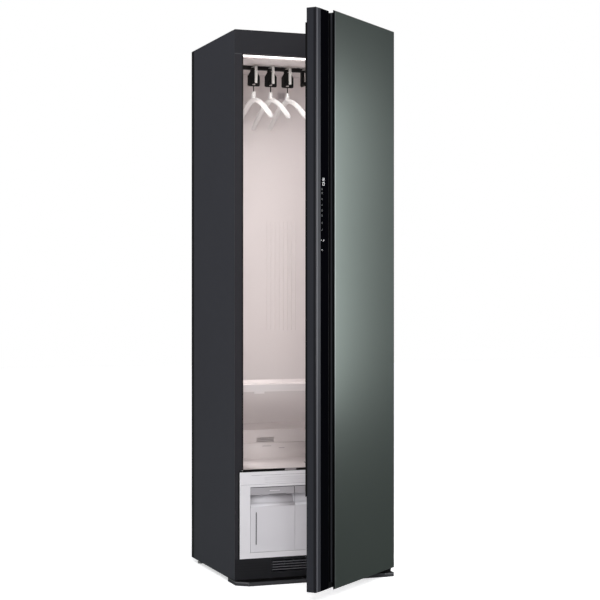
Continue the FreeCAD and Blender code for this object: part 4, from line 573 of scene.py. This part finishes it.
def swung_place(graph):
    """Coordinates of the shut door, in millimetres from its hinge axis: across, deep and up."""
    centred = graph.node("ShaderNodeVectorMath", {0: graph.place(), 1: PIVOT}, operation="SUBTRACT")
    turned = graph.node("ShaderNodeMapping", {"Vector": centred, "Rotation": (0, 0, -DOOR_ANGLE),
                                              "Scale": (1000, 1000, 1000)})
    return [graph.node("ShaderNodeSeparateXYZ", {"Vector": turned}, letter) for letter in "XYZ"]


@as_material
def door_finish(graph):
    """The door's coated frame, with a painted highlight along its bevel and a painted shadow line beside
    it.
    """
    across, deep = swung_place(graph)[:2]
    ripple = noise(graph, place_in(graph), 600.0, 1.0)
    cloud = noise(graph, place_in(graph), 1.6)
    grey = between(graph, ripple * 0.5 + cloud * 0.5, shade(43, 44, 49), shade(51, 52, 57))
    front = 1 - step(graph, deep, BEVEL_HIGHLIGHT_DEPTH - 0.5, BEVEL_HIGHLIGHT_DEPTH + 0.5)
    line = step(graph, across, BEVEL_HIGHLIGHT_START - 1.0, BEVEL_HIGHLIGHT_START + 1.0)
    line = line * (1 - step(graph, across, BEVEL_HIGHLIGHT_END - 2.0, BEVEL_HIGHLIGHT_END + 2.0)) * front
    corner = 1 - step(graph, across, BEVEL_HIGHLIGHT_START - 3.0, BEVEL_HIGHLIGHT_START - 1.0)
    corner = corner * (1 - step(graph, deep, 0.0, 3.0))
    # Painted shadow line at the corner, painted highlight line along the bevel.
    tint = between(graph, line, between(graph, corner, grey, shade(30, 30, 34)), shade(86, 86, 91))
    finish(graph, tint, cloud * 0.08 + ripple * 0.06 + 0.42, ripple, 0.00002, Specular_IOR_Level=0.08)


@as_material
def groove_finish(graph):
    """Black plastic of the handle groove, with a painted highlight on the lip along its right wall."""
    across, deep = swung_place(graph)[:2]
    fine = noise(graph, place_in(graph), 1400.0)
    lip = step(graph, across, LIT_LIP_START, LIT_LIP_END) * band(graph, deep, -6.4, -0.6, 0.6)
    black = between(graph, fine, shade(7, 7, 9), shade(11, 11, 13))
    tint = between(graph, lip, black, shade(52, 53, 57))
    finish(graph, tint, fine * 0.1 + 0.42, fine, 0.00002, Specular_IOR_Level=0.1)


@as_material
def etched_glass(graph):
    place = place_in(graph, -DOOR_ANGLE)
    etch = noise(graph, place, 2600.0, 1.0)
    cloud = noise(graph, place, 1.2)
    tint = between(graph, cloud * 0.6 + etch * 0.4, shade(106, 114, 110), shade(114, 122, 118))
    finish(graph, tint, cloud * 0.04 + etch * 0.05 + 0.31, etch, 0.000004, Metallic=0.92)


@as_material
def ground_edge(graph):
    """The pane's edge beside the groove: a black border of painted shadow, then the paler ground glass.
    """
    across = swung_place(graph)[0]
    grind = noise(graph, place_in(graph), 1500.0, 1.0)
    pale = between(graph, grind, shade(132, 138, 137), shade(142, 148, 147))
    shadow_border = 1 - step(graph, across, SHADOW_BORDER_END - 0.5, SHADOW_BORDER_END + 0.5)
    tint = between(graph, shadow_border, pale, shade(14, 15, 17))
    finish(graph, tint, grind * 0.06 + 0.3, grind, 0.000006, Metallic=0.9)


@as_material
def black_glass(graph):
    place = place_in(graph, -DOOR_ANGLE)
    print_grain = noise(graph, place, 1800.0, 1.0)
    tint = between(graph, print_grain, shade(1, 1, 3), shade(3, 3, 6))
    finish(graph, tint, print_grain * 0.03 + 0.06, Specular_IOR_Level=0.015)


@as_material
def opal_lens(graph):
    place = place_in(graph)
    prisms = graph.node("ShaderNodeTexWave", {"Vector": place, "Scale": 60.0})
    tint = between(graph, prisms, shade(238, 237, 234), shade(250, 250, 248))
    finish(graph, tint, prisms * 0.1 + 0.3, prisms, 0.0004,
           Emission_Color=(1.0, 0.98, 0.97, 1), Emission_Strength=3.2)


door_finish("door_plastic")
etched_glass("door_glass")
black_glass("strip_glass")
groove_finish("groove_plastic")
opal_lens("lamp_diffuser")
ground_edge("edge_trim")
print("finishes:", len(bpy.data.materials))

# %% [markdown]
# ## Finishes on the solids
#
# A table says which solid gets which finish. Each imported solid carries one plain material, and it is
# swapped for the new one in every slot.

# %% Give every solid its finish
FINISH_OF = {
    "casing_paint": "side_panels top_panel",
    "front_paint": "header_cover",
    "stile_paint": "front_stiles",
    "kick_paint": "kick_panel",
    "door_plastic": "door_frame",
    "black_coat": "hanger_rail hinge_brackets",
    "stand_plastic": "front_stand",
    "black_plastic": "rail_guides hanger_holders hanger_hook_1 hanger_hook_2 hanger_hook_3 cord_gland",
    "groove_plastic": "handle_channel",
    "chamber_plastic": "chamber_liner duct_cover drive_cover shelf_supports door_liner",
    "shelf_plastic": "shelf",
    "sensor_plastic": "air_sensor_cover",
    "foot_grey": "rear_feet",
    "filter_plastic": "lint_filter fan_wheel",
    "gate_plastic": "holder_gates",
    "module_plastic": "module_front intake_grille",
    "tank_plastic": "supply_tank drain_tank",
    "lid_plastic": "supply_tank_lid drain_tank_lid",
    "bay_plastic": "tank_bay fan_housing water_pump control_box",
    "press_plastic": "press_board press_cover",
    "hanger_plastic": "hanger_body_1 hanger_body_2 hanger_body_3",
    "bush_plastic": "hinge_bushes",
    "gasket_rubber": "door_gasket",
    "mount_rubber": "compressor_mounts",
    "hose_rubber": "water_hoses",
    "pan_steel": "base_pan",
    "back_steel": "back_panel",
    "plated_steel": "drive_crank",
    "motor_cast": "drive_motor fan_motor",
    "fin_aluminium": "heat_exchangers",
    "boiler_cast": "steam_generator",
    "pipe_copper": "refrigerant_pipes",
    "board_green": "display_board",
    "compressor_paint": "compressor",
    "foam": "wall_insulation",
    "door_glass": "glass_panel",
    "strip_glass": "control_strip",
    "lamp_diffuser": "lamp_lens",
}
for finish_name, names in FINISH_OF.items():
    for name in names.split():
        for entry in nodes[name].material_slots:
            entry.material = FINISHES[finish_name]
unpainted = sorted(set(nodes) - set(" ".join(FINISH_OF.values()).split()))
print("solids without a finish:", unpainted or "none")

# %% [markdown]
# ## Pieces on the door
#
# The door stands 41 degrees open, but it is far easier to draw on a shut door, where its face is
# square to the view. So each piece of the door is drawn shut, in millimetres, and then swung about the
# hinge axis like the solids were.

# %% Drawing on the shut door
SWING = Matrix.Translation(PIVOT) @ Matrix.Rotation(DOOR_ANGLE, 4, "Z") @ Matrix.Translation(-PIVOT)


def add_piece(name, mesh, body, slot_name, *finish_names):
    """Link a mesh as a piece of one body. slot_name, the slot of the record that it stands for, is not
    used.
    """
    for finish_name in finish_names:
        mesh.materials.append(FINISHES[finish_name])
    thing = bpy.data.objects.new(name, mesh)
    scene.collection.objects.link(thing)
    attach(thing, body)
    print(name, len(mesh.polygons), "faces")
    return thing


def mesh_of(name, points, faces):
    """A mesh from points in millimetres."""
    mesh = bpy.data.meshes.new(name)
    mesh.from_pydata([Vector(p) * MM for p in points], [], faces)
    mesh.update()
    return mesh


# %% [markdown]
# ## The glass front
#
# The pane is a sheet with a narrow ground bevel all round. Along the handle side its edge falls back in
# a slim strip, which catches the soft box as one bright upright line. The pane is drawn as a grid, so
# that the bevel and the trim are strips of their own.

# %% Glass panel with its edge trim
def pane(name, x, y, z, bevel, trim, fall):
    """A bevelled pane. x, y and z are spans; trim is the width of the left strip that falls back. The
    points run up five columns of four, and the back's corners come last."""
    xs = [x[0], x[0] + bevel, x[0] + trim, x[1] - bevel, x[1]]
    zs = [z[0], z[0] + bevel, z[1] - bevel, z[1]]
    fronts = [y[0] + fall + bevel, y[0] + fall, y[0], y[0], y[0] + bevel]
    points = [(across, fronts[i] + (bevel if k in (0, 3) and i not in (0, 4) else 0), up)
              for i, across in enumerate(xs) for k, up in enumerate(zs)]
    points += [(x[0], y[1], z[0]), (x[1], y[1], z[0]), (x[1], y[1], z[1]), (x[0], y[1], z[1])]
    cells = [(a, a + 4, a + 5, a + 1) for a in range(16) if a % 4 < 3]
    sides = [(16, 12, 8, 4, 0, 20, 21), (3, 7, 11, 15, 19, 22, 23), (16, 17, 18, 19, 22, 21),
             (20, 23, 22, 21)]
    trim_faces = cells[:6] + [(3, 2, 1, 0, 20, 23)]
    mesh = mesh_of(name, points, cells[6:] + sides + trim_faces)
    for face in list(mesh.polygons)[-len(trim_faces):]:
        face.material_index = 1
    return mesh


def face_outwards(mesh):
    """Turn every face of a closed shape to point out."""
    shape = bmesh.new()
    shape.from_mesh(mesh)
    bmesh.ops.recalc_face_normals(shape, faces=shape.faces)
    shape.to_mesh(mesh)
    shape.free()


GLASS_FACE, STRIP_FACE = -45.0, -41.0
glass_mesh = pane("glass_front", (-178, 295), (GLASS_FACE, STRIP_FACE), (32, 1960), bevel=1.0,
                  trim=12.0, fall=0.3)
face_outwards(glass_mesh)
glass_mesh.transform(SWING)
glass_front = add_piece("glass_front", glass_mesh, "door", "door_glass", "door_glass", "edge_trim")
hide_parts("glass_panel")

# %% [markdown]
# ## The gasket's edge and the groove's foot
#
# The magnetic gasket is wider than the lining that carries it, so along the free side its black edge
# shows past the door's frame. When the door is shut it lies just in front of the casing. A black block
# fills the foot of the handle groove.

# %% Blocks, and two of them on the door
def block_mesh(name, low, high, bevel=0.0):
    """A box between two corners, in millimetres, with softened edges."""
    mesh = bpy.data.meshes.new(name)
    shape = bmesh.new()
    bmesh.ops.create_cube(shape, size=1.0)
    size = [b - a for a, b in zip(low, high)]
    for point in shape.verts:
        point.co = Vector([(a + (c + 0.5) * d) * MM for a, c, d in zip(low, point.co, size)])
    if bevel:
        bmesh.ops.bevel(shape, geom=shape.edges[:], offset=bevel * MM, segments=2, affect="EDGES",
                        profile=0.5)
    shape.to_mesh(mesh)
    shape.free()
    return mesh


def add_block(name, body, slot_name, low, high, bevel, finish=None):
    """A block as a piece of a body. On the door it is drawn shut, then swung."""
    mesh = block_mesh(name, low, high, bevel)
    if body == "door":
        mesh.transform(SWING)
    add_piece(name, mesh, body, slot_name, finish or slot_name)


add_block("groove_foot", "door", "channel_plastic", (-210, -40.6, 40.3), (-183.2, -17.2, 58), 0.3,
          "groove_plastic")
add_block("gasket_edge", "door", "gasket_rubber", (-297.15, -7.6, 352), (-292, -0.35, 1904), 0.1)

# %% [markdown]
# ## Geometry Nodes from a script
#
# Ribs, fins and wires repeat, so they are grown by node trees instead of being drawn one by one.
# A tree gets named inputs for its sizes. It runs as a modifier on a small carrier mesh, whose vertices
# can say where things go. The result is taken as a plain mesh, and the carrier is thrown away.

# %% Build a tree, and grow a mesh with it
def new_tree(name, inputs):
    """A Geometry Nodes tree with named inputs. Gives the tree, its graph and a wire for each input."""
    tree = bpy.data.node_groups.new(name, "GeometryNodeTree")
    tree.interface.new_socket("Carrier", in_out="INPUT", socket_type="NodeSocketGeometry")
    for label, kind in inputs.items():
        tree.interface.new_socket(label, in_out="INPUT", socket_type="NodeSocket" + kind)
    tree.interface.new_socket("Geometry", in_out="OUTPUT", socket_type="NodeSocketGeometry")
    graph = Graph(tree)
    entry = tree.nodes.new("NodeGroupInput")
    return tree, graph, {socket.name: Wire(graph, socket) for socket in entry.outputs if socket.name}


def close_tree(graph, shape, finish_wire):
    """Every tree ends the same way: real geometry, one finish."""
    real = graph.node("GeometryNodeRealizeInstances", {"Geometry": shape})
    dressed = graph.node("GeometryNodeSetMaterial", {"Geometry": real, "Material": finish_wire})
    graph.node("NodeGroupOutput", {"Geometry": dressed})


def grow(name, tree, values, points=((0, 0, 0),)):
    """Run a tree on a point or a path, in millimetres, and keep the result as a plain mesh."""
    carrier_mesh = bpy.data.meshes.new(name + "_carrier")
    links = [(i, i + 1) for i in range(len(points) - 1)]
    carrier_mesh.from_pydata([Vector(p) * MM for p in points], links, [])
    carrier = bpy.data.objects.new(name + "_carrier", carrier_mesh)
    scene.collection.objects.link(carrier)
    modifier = carrier.modifiers.new("grow", "NODES")
    modifier.node_group = tree
    for socket in tree.interface.items_tree:
        if socket.in_out == "INPUT" and socket.name in values:
            modifier[socket.identifier] = values[socket.name]
    depsgraph = bpy.context.evaluated_depsgraph_get()
    mesh = bpy.data.meshes.new_from_object(carrier.evaluated_get(depsgraph))
    mesh.name = name
    bpy.data.objects.remove(carrier)
    bpy.data.meshes.remove(carrier_mesh)
    return mesh


# %% [markdown]
# ## Bars
#
# One tree serves every row of equal bars: a path of the bar's length is swept with a rounded square,
# and the bar is repeated at an even step. The ribs on the chamber's back wall, the latches of its duct
# cover, the seams and fins of the white front and the wires of the lint filter all come from it.

# %% The bar tree
BAR_SIZES = {"Count": "Int", "Start": "Vector", "Step": "Vector", "Run": "Vector", "Width": "Float",
             "Round": "Float", "Finish": "Material"}


def bar_tree():
    tree, graph, size = new_tree("bars", BAR_SIZES)
    path = graph.node("GeometryNodeCurvePrimitiveLine", {"Start": (0, 0, 0), "End": size["Run"]})
    square = graph.node("GeometryNodeCurvePrimitiveQuadrilateral",
                        {"Width": size["Width"], "Height": size["Width"]}, mode="RECTANGLE")
    section = graph.node("GeometryNodeFilletCurve",
                         {"Curve": square, "Count": 3, "Radius": size["Round"]}, mode="POLY")
    bar = graph.node("GeometryNodeCurveToMesh", {"Curve": path, "Profile Curve": section,
                                                 "Fill Caps": True})
    places = graph.node("GeometryNodeMeshLine", {"Count": size["Count"], "Start Location": size["Start"],
                                                 "Offset": size["Step"]}, mode="OFFSET")
    row = graph.node("GeometryNodeInstanceOnPoints", {"Points": places, "Instance": bar})
    close_tree(graph, row, size["Finish"])
    return tree


BARS = bar_tree()


def add_bars(name, body, slot_name, start, run, width, count=1, step_by=(0, 0, 0), finish=None):
    """A bar, or a row of equal bars, as a piece of a body. Every length is in millimetres."""
    values = {"Count": count, "Start": Vector(start) * MM, "Step": Vector(step_by) * MM,
              "Run": Vector(run) * MM, "Width": width * MM, "Round": width * 0.3 * MM,
              "Finish": FINISHES[finish or slot_name]}
    mesh = grow(name, BARS, values)
    face_outwards(mesh)
    add_piece(name, mesh, body, slot_name)


# %% [markdown]
# ## The chamber's small details
#
# The back wall has slim upright ribs, which keep clothes off it so that steam can pass. They stand about
# two millimetres proud of the wall. The duct cover has two latches that show as short dark slots.

# %% Ribs, latches and filter wires
BACK_WALL, DUCT_FRONT, WIRE_HEIGHT = 500.0, 380.0, 373.0
add_bars("back_wall_ribs", "root", "chamber_plastic", (-4, BACK_WALL - 0.6, 877), (0, 0, 420), 2.4,
         8, (17, 0, 0))
add_bars("duct_latch_left", "root", "grille_grey", (-65, DUCT_FRONT - 1.8, 443), (36, 0, 0), 1.6)
add_bars("duct_latch_right", "root", "grille_grey", (0, DUCT_FRONT - 4.4, 435), (23, 0, 0), 2.0)
FILTER_X, FILTER_Y = (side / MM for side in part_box("lint_filter")[0][:2])
add_bars("filter_wires_long", "lint_filter", "steel", (FILTER_X + 8, FILTER_Y + 10, WIRE_HEIGHT),
         (184, 0, 0), 0.8, 18, (0, 4.6, 0), "plated_steel")
add_bars("filter_wires_short", "lint_filter", "steel", (FILTER_X + 10, FILTER_Y + 8, WIRE_HEIGHT),
         (0, 84, 0), 0.8, 38, (4.8, 0, 0), "plated_steel")

# %% [markdown]
# ## Hangers
#
# A supplied hanger is one moulding: a smooth arm whose section is a flattened circle, thinner towards
# its rounded ends, under a flared neck that takes the steel stem. The arm is a section swept along the
# line of the shoulders, whose radius shrinks at both ends. The neck is turned like a vase.

# %% The arm tree
ARM_SIZES = {"Thin": "Float", "Tall": "Float", "Finish": "Material"}


def arm_tree():
    tree, graph, size = new_tree("arm", ARM_SIZES)
    line = graph.node("GeometryNodeMeshToCurve", {"Mesh": size["Carrier"]})
    along = graph.node("GeometryNodeSplineParameter", {}, "Factor")
    from_middle = graph.sum("ABSOLUTE", along - 0.5, 0.0) * 2
    ends = graph.sum("SQRT", 1.0004 - graph.sum("POWER", from_middle, 26.0), 0.0)
    slim = ends * (1.08 - from_middle * 0.22)
    shaped = graph.node("GeometryNodeSetCurveRadius", {"Curve": line, "Radius": slim})
    circle = graph.node("GeometryNodeCurvePrimitiveCircle", {"Resolution": 20, "Radius": 1.0})
    halves = graph.node("ShaderNodeCombineXYZ", {"X": size["Tall"] * 0.5, "Y": size["Thin"] * 0.5,
                                                 "Z": 1.0})
    section = graph.node("GeometryNodeTransform", {"Geometry": circle, "Scale": halves})
    arm = graph.node("GeometryNodeCurveToMesh", {"Curve": shaped, "Profile Curve": section,
                                                 "Scale": slim, "Fill Caps": True})
    smooth = graph.node("GeometryNodeSetShadeSmooth", {"Geometry": arm})
    close_tree(graph, smooth, size["Finish"])
    return tree


ARM = arm_tree()

# %% Neck and arm of each hanger
ARM_FALL, ARM_DEPTH, CROWN_DROP, ARM_STEPS, ARM_CURVE, ARM_INSET = 88.0, 24.0, 18.0, 60, 1.6, 2
ARM_SECTION = {"Thin": 15 * MM, "Tall": 23 * MM, "Finish": FINISHES["hanger_plastic"]}
NECK = ((7.0, 36), (9.5, 30), (9.0, 22), (7.6, 12), (7.2, 5), (7.0, 1), (6.2, 0.2))


def turned(mesh, centre, outline, sides=24):
    """Add a turned shape to a mesh. outline gives radius and height from the bottom up."""
    shape = bmesh.new()
    shape.from_mesh(mesh)
    turns = [a * math.tau / sides for a in range(sides)]
    rings = [[shape.verts.new(Vector((centre[0] + radius * math.cos(turn),
                                      centre[1] + radius * math.sin(turn), up)) * MM) for turn in turns]
             for radius, up in outline]
    for low, high in zip(rings, rings[1:]):
        for a in range(sides):
            b = (a + 1) % sides
            shape.faces.new((low[a], low[b], high[b], high[a])).smooth = True
    shape.faces.new(tuple(reversed(rings[0])))
    shape.faces.new(rings[-1])
    shape.to_mesh(mesh)
    shape.free()


for number in (1, 2, 3):
    name = f"hanger_body_{number}"
    low, high = (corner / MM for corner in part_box(name))
    place, middle, top = (low.x + high.x) / 2, (low.y + high.y) / 2, high.z
    reach, arm_mid = (high.y - low.y) / 2 - ARM_INSET, top - CROWN_DROP - ARM_DEPTH / 2
    path = []
    for index in range(ARM_STEPS + 1):
        share = 2 * index / ARM_STEPS - 1
        path.append((place, middle + reach * share, arm_mid - ARM_FALL * abs(share) ** ARM_CURVE))
    mesh = grow(name + "_arm", ARM, ARM_SECTION, path)
    turned(mesh, (place, middle), [(radius, top - drop) for radius, drop in NECK])
    face_outwards(mesh)
    arm = add_piece(f"hanger_arm_{number}", mesh, f"hanger_{number}", "hanger_plastic")
    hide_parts(name)
print("arm fits its solid:", tuple(round(v, 1) for v in low), tuple(round(v, 1) for v in high))

# %% [markdown]
# ## The chamber's sill and the seams under it
#
# Between the chamber's floor and the white module lies a black rubber seal, on which the door's lining
# rests, with a grey magnet for the door switch let into it. A fine pressed line runs along the top of
# the air strip, and a seam along its foot.

# %% Sill seal, its insert, line and seam
SILL_LOW, SILL_HIGH = 393.3, 402.4
moulded("seam_grey", shade(176, 174, 178), 0.45)
add_block("sill_seal", "root", "black_plastic", (-CHAMBER_HALF, 0.6, SILL_LOW),
          (CHAMBER_HALF, 2.6, SILL_HIGH), 0.4)
add_block("sill_magnet", "root", "grille_grey", (-111, 0.2, SILL_LOW + 1),
          (-69, 0.9, SILL_HIGH - 0.6), 0.2)
for name, start, run, width in (("air_strip_line", (-236, 0.2, 381), 472, 1.1),
                                ("air_strip_seam", (-275, 0.3, 348.7), 550, 1.0)):
    add_bars(name, "root", "module_plastic", start, (run, 0, 0), width, finish="seam_grey")

# %% [markdown]
# ## Rounded lips and coves
#
# Solids with sharp edges look machined, moulded plastic doesn't. The duct cover meets the chamber's
# floor in a wide cove, and each tank's grip curves from a round lip into a hollow for the fingers. A
# strip with a smooth curved section, drawn along X, makes both. The module's upright edges are
# chamfered, and catch the light; a whiter copy of the module's plastic on them adds a painted highlight.

# %% Curved strips
def add_strip(name, body, slot_name, x, section):
    """A closed section in (y, z), drawn from one x to another, in millimetres, as a piece of a body."""
    count = len(section)
    points = [(end, y, z) for end in x for y, z in section]
    faces = [(i, (i + 1) % count, (i + 1) % count + count, i + count) for i in range(count)]
    faces += [tuple(reversed(range(count))), tuple(range(count, 2 * count))]
    mesh = mesh_of(name, points, faces)
    face_outwards(mesh)
    for face in list(mesh.polygons)[:count - 2]:
        face.use_smooth = True
    add_piece(name, mesh, body, slot_name, slot_name)


def arc(centre, radius, first, last, steps=10):
    """Points on an arc in (y, z). Angles in degrees, 0 towards +Y and 90 up."""
    turns = [math.radians(first + (last - first) * i / steps) for i in range(steps + 1)]
    return [(centre[0] + radius * math.cos(a), centre[1] + radius * math.sin(a)) for a in turns]


CHAMBER_FLOOR, COVE, COVE_STEPS = 401.0, 55.0, 30
cove = arc((DUCT_FRONT - COVE, CHAMBER_FLOOR + COVE), COVE, 0, -90, COVE_STEPS)
add_strip("duct_cove", "root", "chamber_plastic", (-265, 265), cove + [(DUCT_FRONT, CHAMBER_FLOOR)])
TANK_FRONT, LIP_BASE, LIP_ROUND = -2.0, 270.0, 11.2
HOLLOW = [(13.0, 282.3), (17.0, 285.8), (20.8, 290.8), (24.4, 297.4), (27.6, 304.8), (29.4, 311.7),
          (31.5, 311.7), (31.5, LIP_BASE)]
for name in ("supply_tank", "drain_tank"):
    low, high = (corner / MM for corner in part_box(name))
    lip = arc((TANK_FRONT + LIP_ROUND - 0.2, LIP_BASE), LIP_ROUND, 180, 90) + HOLLOW
    add_strip(name + "_lip", name, "tank_plastic", (low.x, high.x), lip)
# A whiter copy of the module's plastic for its chamfered edges: a painted highlight.
moulded("edge_plastic", shade(253, 252, 254), 0.3)
EDGE_WIDTH, EDGE_FACE, EDGE_CHAMFER = 3.8, -0.25, 1.5
for name, side in (("module_edge_left", -1), ("module_edge_right", 1)):
    near, far = sorted((side * MODULE_HALF, side * (MODULE_HALF - EDGE_WIDTH)))
    edge = block_mesh(name, (near, EDGE_FACE, 91.3), (far, 1.8, 392.6))
    for point in edge.vertices:
        if abs(point.co.x) > (MODULE_HALF - 0.5) * MM and point.co.y < 0:
            point.co.y = EDGE_CHAMFER * MM
    add_piece(name, edge, "root", "module_plastic", "edge_plastic")

# %% [markdown]
# ## Air strip, lids and stand
#
# Pale fins stand in the air strip's slots, a little behind its face. Each lid has a pull bar on its
# front edge, with a painted highlight along its upper rim and a painted shadow below it. A black strip
# of painted shadow fills the gap over the stand.

# %% Fins, the pull bars' painted highlights and shadows, and the stand's painted shadow
add_bars("air_strip_fins", "root", "module_plastic", (-186.5, 2.2, 355.1), (373, 0, 0), 2.6,
         3, (0, 0, 8.4))
# Dark grey for seams, and for the painted shadow under each pull bar.
moulded("seam_dark", shade(48, 46, 50), 0.5)
# Each pull bar gets a painted highlight along its upper rim and a painted shadow below it.
for name, inward in (("supply_tank", 8), ("drain_tank", -8)):
    low, high = (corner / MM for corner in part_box(name + "_lid"))
    middle = (low.x + high.x) / 2 + inward
    for part, start, run, width, finish_name in (
            ("_bar_highlight", (middle - 19, 1.1, 325.4), 38, 1.8, "module_plastic"),
            ("_bar_shadow", (middle - 20, 1.3, 312.6), 62, 1.6, "seam_dark"),
            ("_lid_gap", (low.x + 1, 1.6, 338.7), 162, 2.0, "seam_dark")):
        add_bars(name + part, name, "lid_plastic", start, (run, 0, 0), width, finish=finish_name)
add_bars("tank_seam", "supply_tank", "tank_plastic", (-74.5, 0.6, 113), (0, 0, 225), 0.9,
         finish="seam_dark")
# A black strip put in the gap over the stand: painted shadow.
add_block("stand_gap_shadow", "root", "black_plastic", (-296, -0.3, 14.4), (296, 1.2, 18.6), 0.2)

# %% [markdown]
# ## Level windows of the tanks
#
# Each tank has a narrow clear window in its front, through which the water's height can be read. The
# plastic is smoky and sits in the slot that the tank has for it.

# %% Level windows
moulded("smoky_plastic", shade(120, 120, 122), 0.16, 900.0, 0.00001)
for name, across in (("supply_tank", -218.6), ("drain_tank", 69.6)):
    add_block(name + "_window", name, "tank_plastic", (across - 1.9, TANK_FRONT, 139),
              (across + 1.9, TANK_FRONT + 1.1, 253), 0.3, "smoky_plastic")

# %% [markdown]
# ## Kick panel
#
# A short block closes each end of the air slots. Behind them lies the dark machine bay.

# %% End blocks of the kick panel
for name, across in (("kick_end_left", -167), ("kick_end_right", 159)):
    add_block(name, "root", "black_plastic", (across, 0.1, 42), (across + 8, 2.6, 81), 0.3)

# %% [markdown]
# ## Display marks on the control strip
#
# The display shines through black glass: two figures for the minutes left, and a column of small symbols
# for the programmes. Each mark is a set of straight strokes, and each stroke is a thin bar a tenth of a
# millimetre thick on the glass. They are drawn on the shut door, then swung open with it. A stroke is
# written as the place of its two ends: across and up, then across and up again.

# %% Strokes for figures and symbols
@as_material
def lit(graph, bright):
    dots = noise(graph, place_in(graph), 900.0)
    tint = between(graph, dots, scaled([bright] * 3, 0.85), scaled([bright] * 3, 1.0))
    finish(graph, tint, dots * 0.1 + 0.4, Emission_Color=(0.95, 0.98, 1, 1), Emission_Strength=bright)


lit("display_bright", 0.6)
lit("display_faint", 0.09)


def add_marks(name, lines, width, glow):
    """Flat strokes on the strip, in millimetres."""
    points, faces = [], []
    for line in lines:
        start, end = Vector(line[:2]), Vector(line[2:])
        along = (end - start).normalized() * width / 2
        side = Vector((-along.y, along.x))
        outline = [start - along - side, end + along - side, end + along + side, start - along + side]
        first = len(points)
        points += [(v.x, deep, v.y) for deep in (STRIP_FACE - 0.1, STRIP_FACE) for v in outline]
        faces += [tuple(first + i for i in face) for face in
                  ((0, 1, 2, 3), (7, 6, 5, 4), (0, 4, 5, 1), (1, 5, 6, 2), (2, 6, 7, 3), (3, 7, 4, 0))]
    mesh = mesh_of(name, points, faces)
    face_outwards(mesh)
    mesh.transform(SWING)
    add_piece(name, mesh, "door", "strip_glass", glow)


SEGMENTS = {"top": (0, 2, 1, 2), "high left": (0, 1, 0, 2), "high right": (1, 1, 1, 2),
            "middle": (0, 1, 1, 1), "low left": (0, 0, 0, 1), "low right": (1, 0, 1, 1),
            "bottom": (0, 0, 1, 0)}
FIGURES = {"2": ("top", "high right", "middle", "low left", "bottom"),
           "0": ("top", "high left", "high right", "low left", "low right", "bottom")}
FIGURE_LEFT, FIGURE_WIDE, FIGURE_TALL = -253, 13, 8.5
DROP = ((-3, -3, 0, 3), (0, 3, 3, -3), (-3, -3, 3, -3))
FRAME = ((-3, -3, -3, 3), (3, -3, 3, 3), (-3, 3, 3, 3))
TWO_BARS = ((-3, -2, 3, -2), (-3, 2, 3, 2))
TICK = ((-3, 0, -1, -3), (-1, -3, 3, 3))
SIGN_COLUMN, SIGN_HEIGHTS = -257, (1360, 1346, 1327, 1307.5, 1290, 1272, 1249, 1226)


def moved(strokes, left, low, wide=1, tall=1):
    """Strokes at another place and size."""
    return [(left + a * wide, low + b * tall, left + c * wide, low + d * tall) for a, b, c, d in strokes]


figures = []
for figure, low in (("2", 1387.5), ("0", 1373)):
    strokes = [SEGMENTS[part] for part in FIGURES[figure]]
    figures += moved(strokes, FIGURE_LEFT, low, FIGURE_WIDE, FIGURE_TALL / 2)
add_marks("display_figures", figures, 1.15, "display_bright")
signs = []
for low, sign in zip(SIGN_HEIGHTS, 2 * (DROP, FRAME, TWO_BARS, TICK)):
    signs += moved(sign, SIGN_COLUMN, low)
add_marks("display_signs", signs, 0.9, "display_faint")
key_marks = [(-246, 1194, -242.5, 1191.5), (-242.5, 1191.5, -246, 1189), (-262, 1193.5, -262, 1189.5),
             (-259, 1160, -254, 1160)]
add_marks("display_keys", key_marks, 1.3, "display_bright")
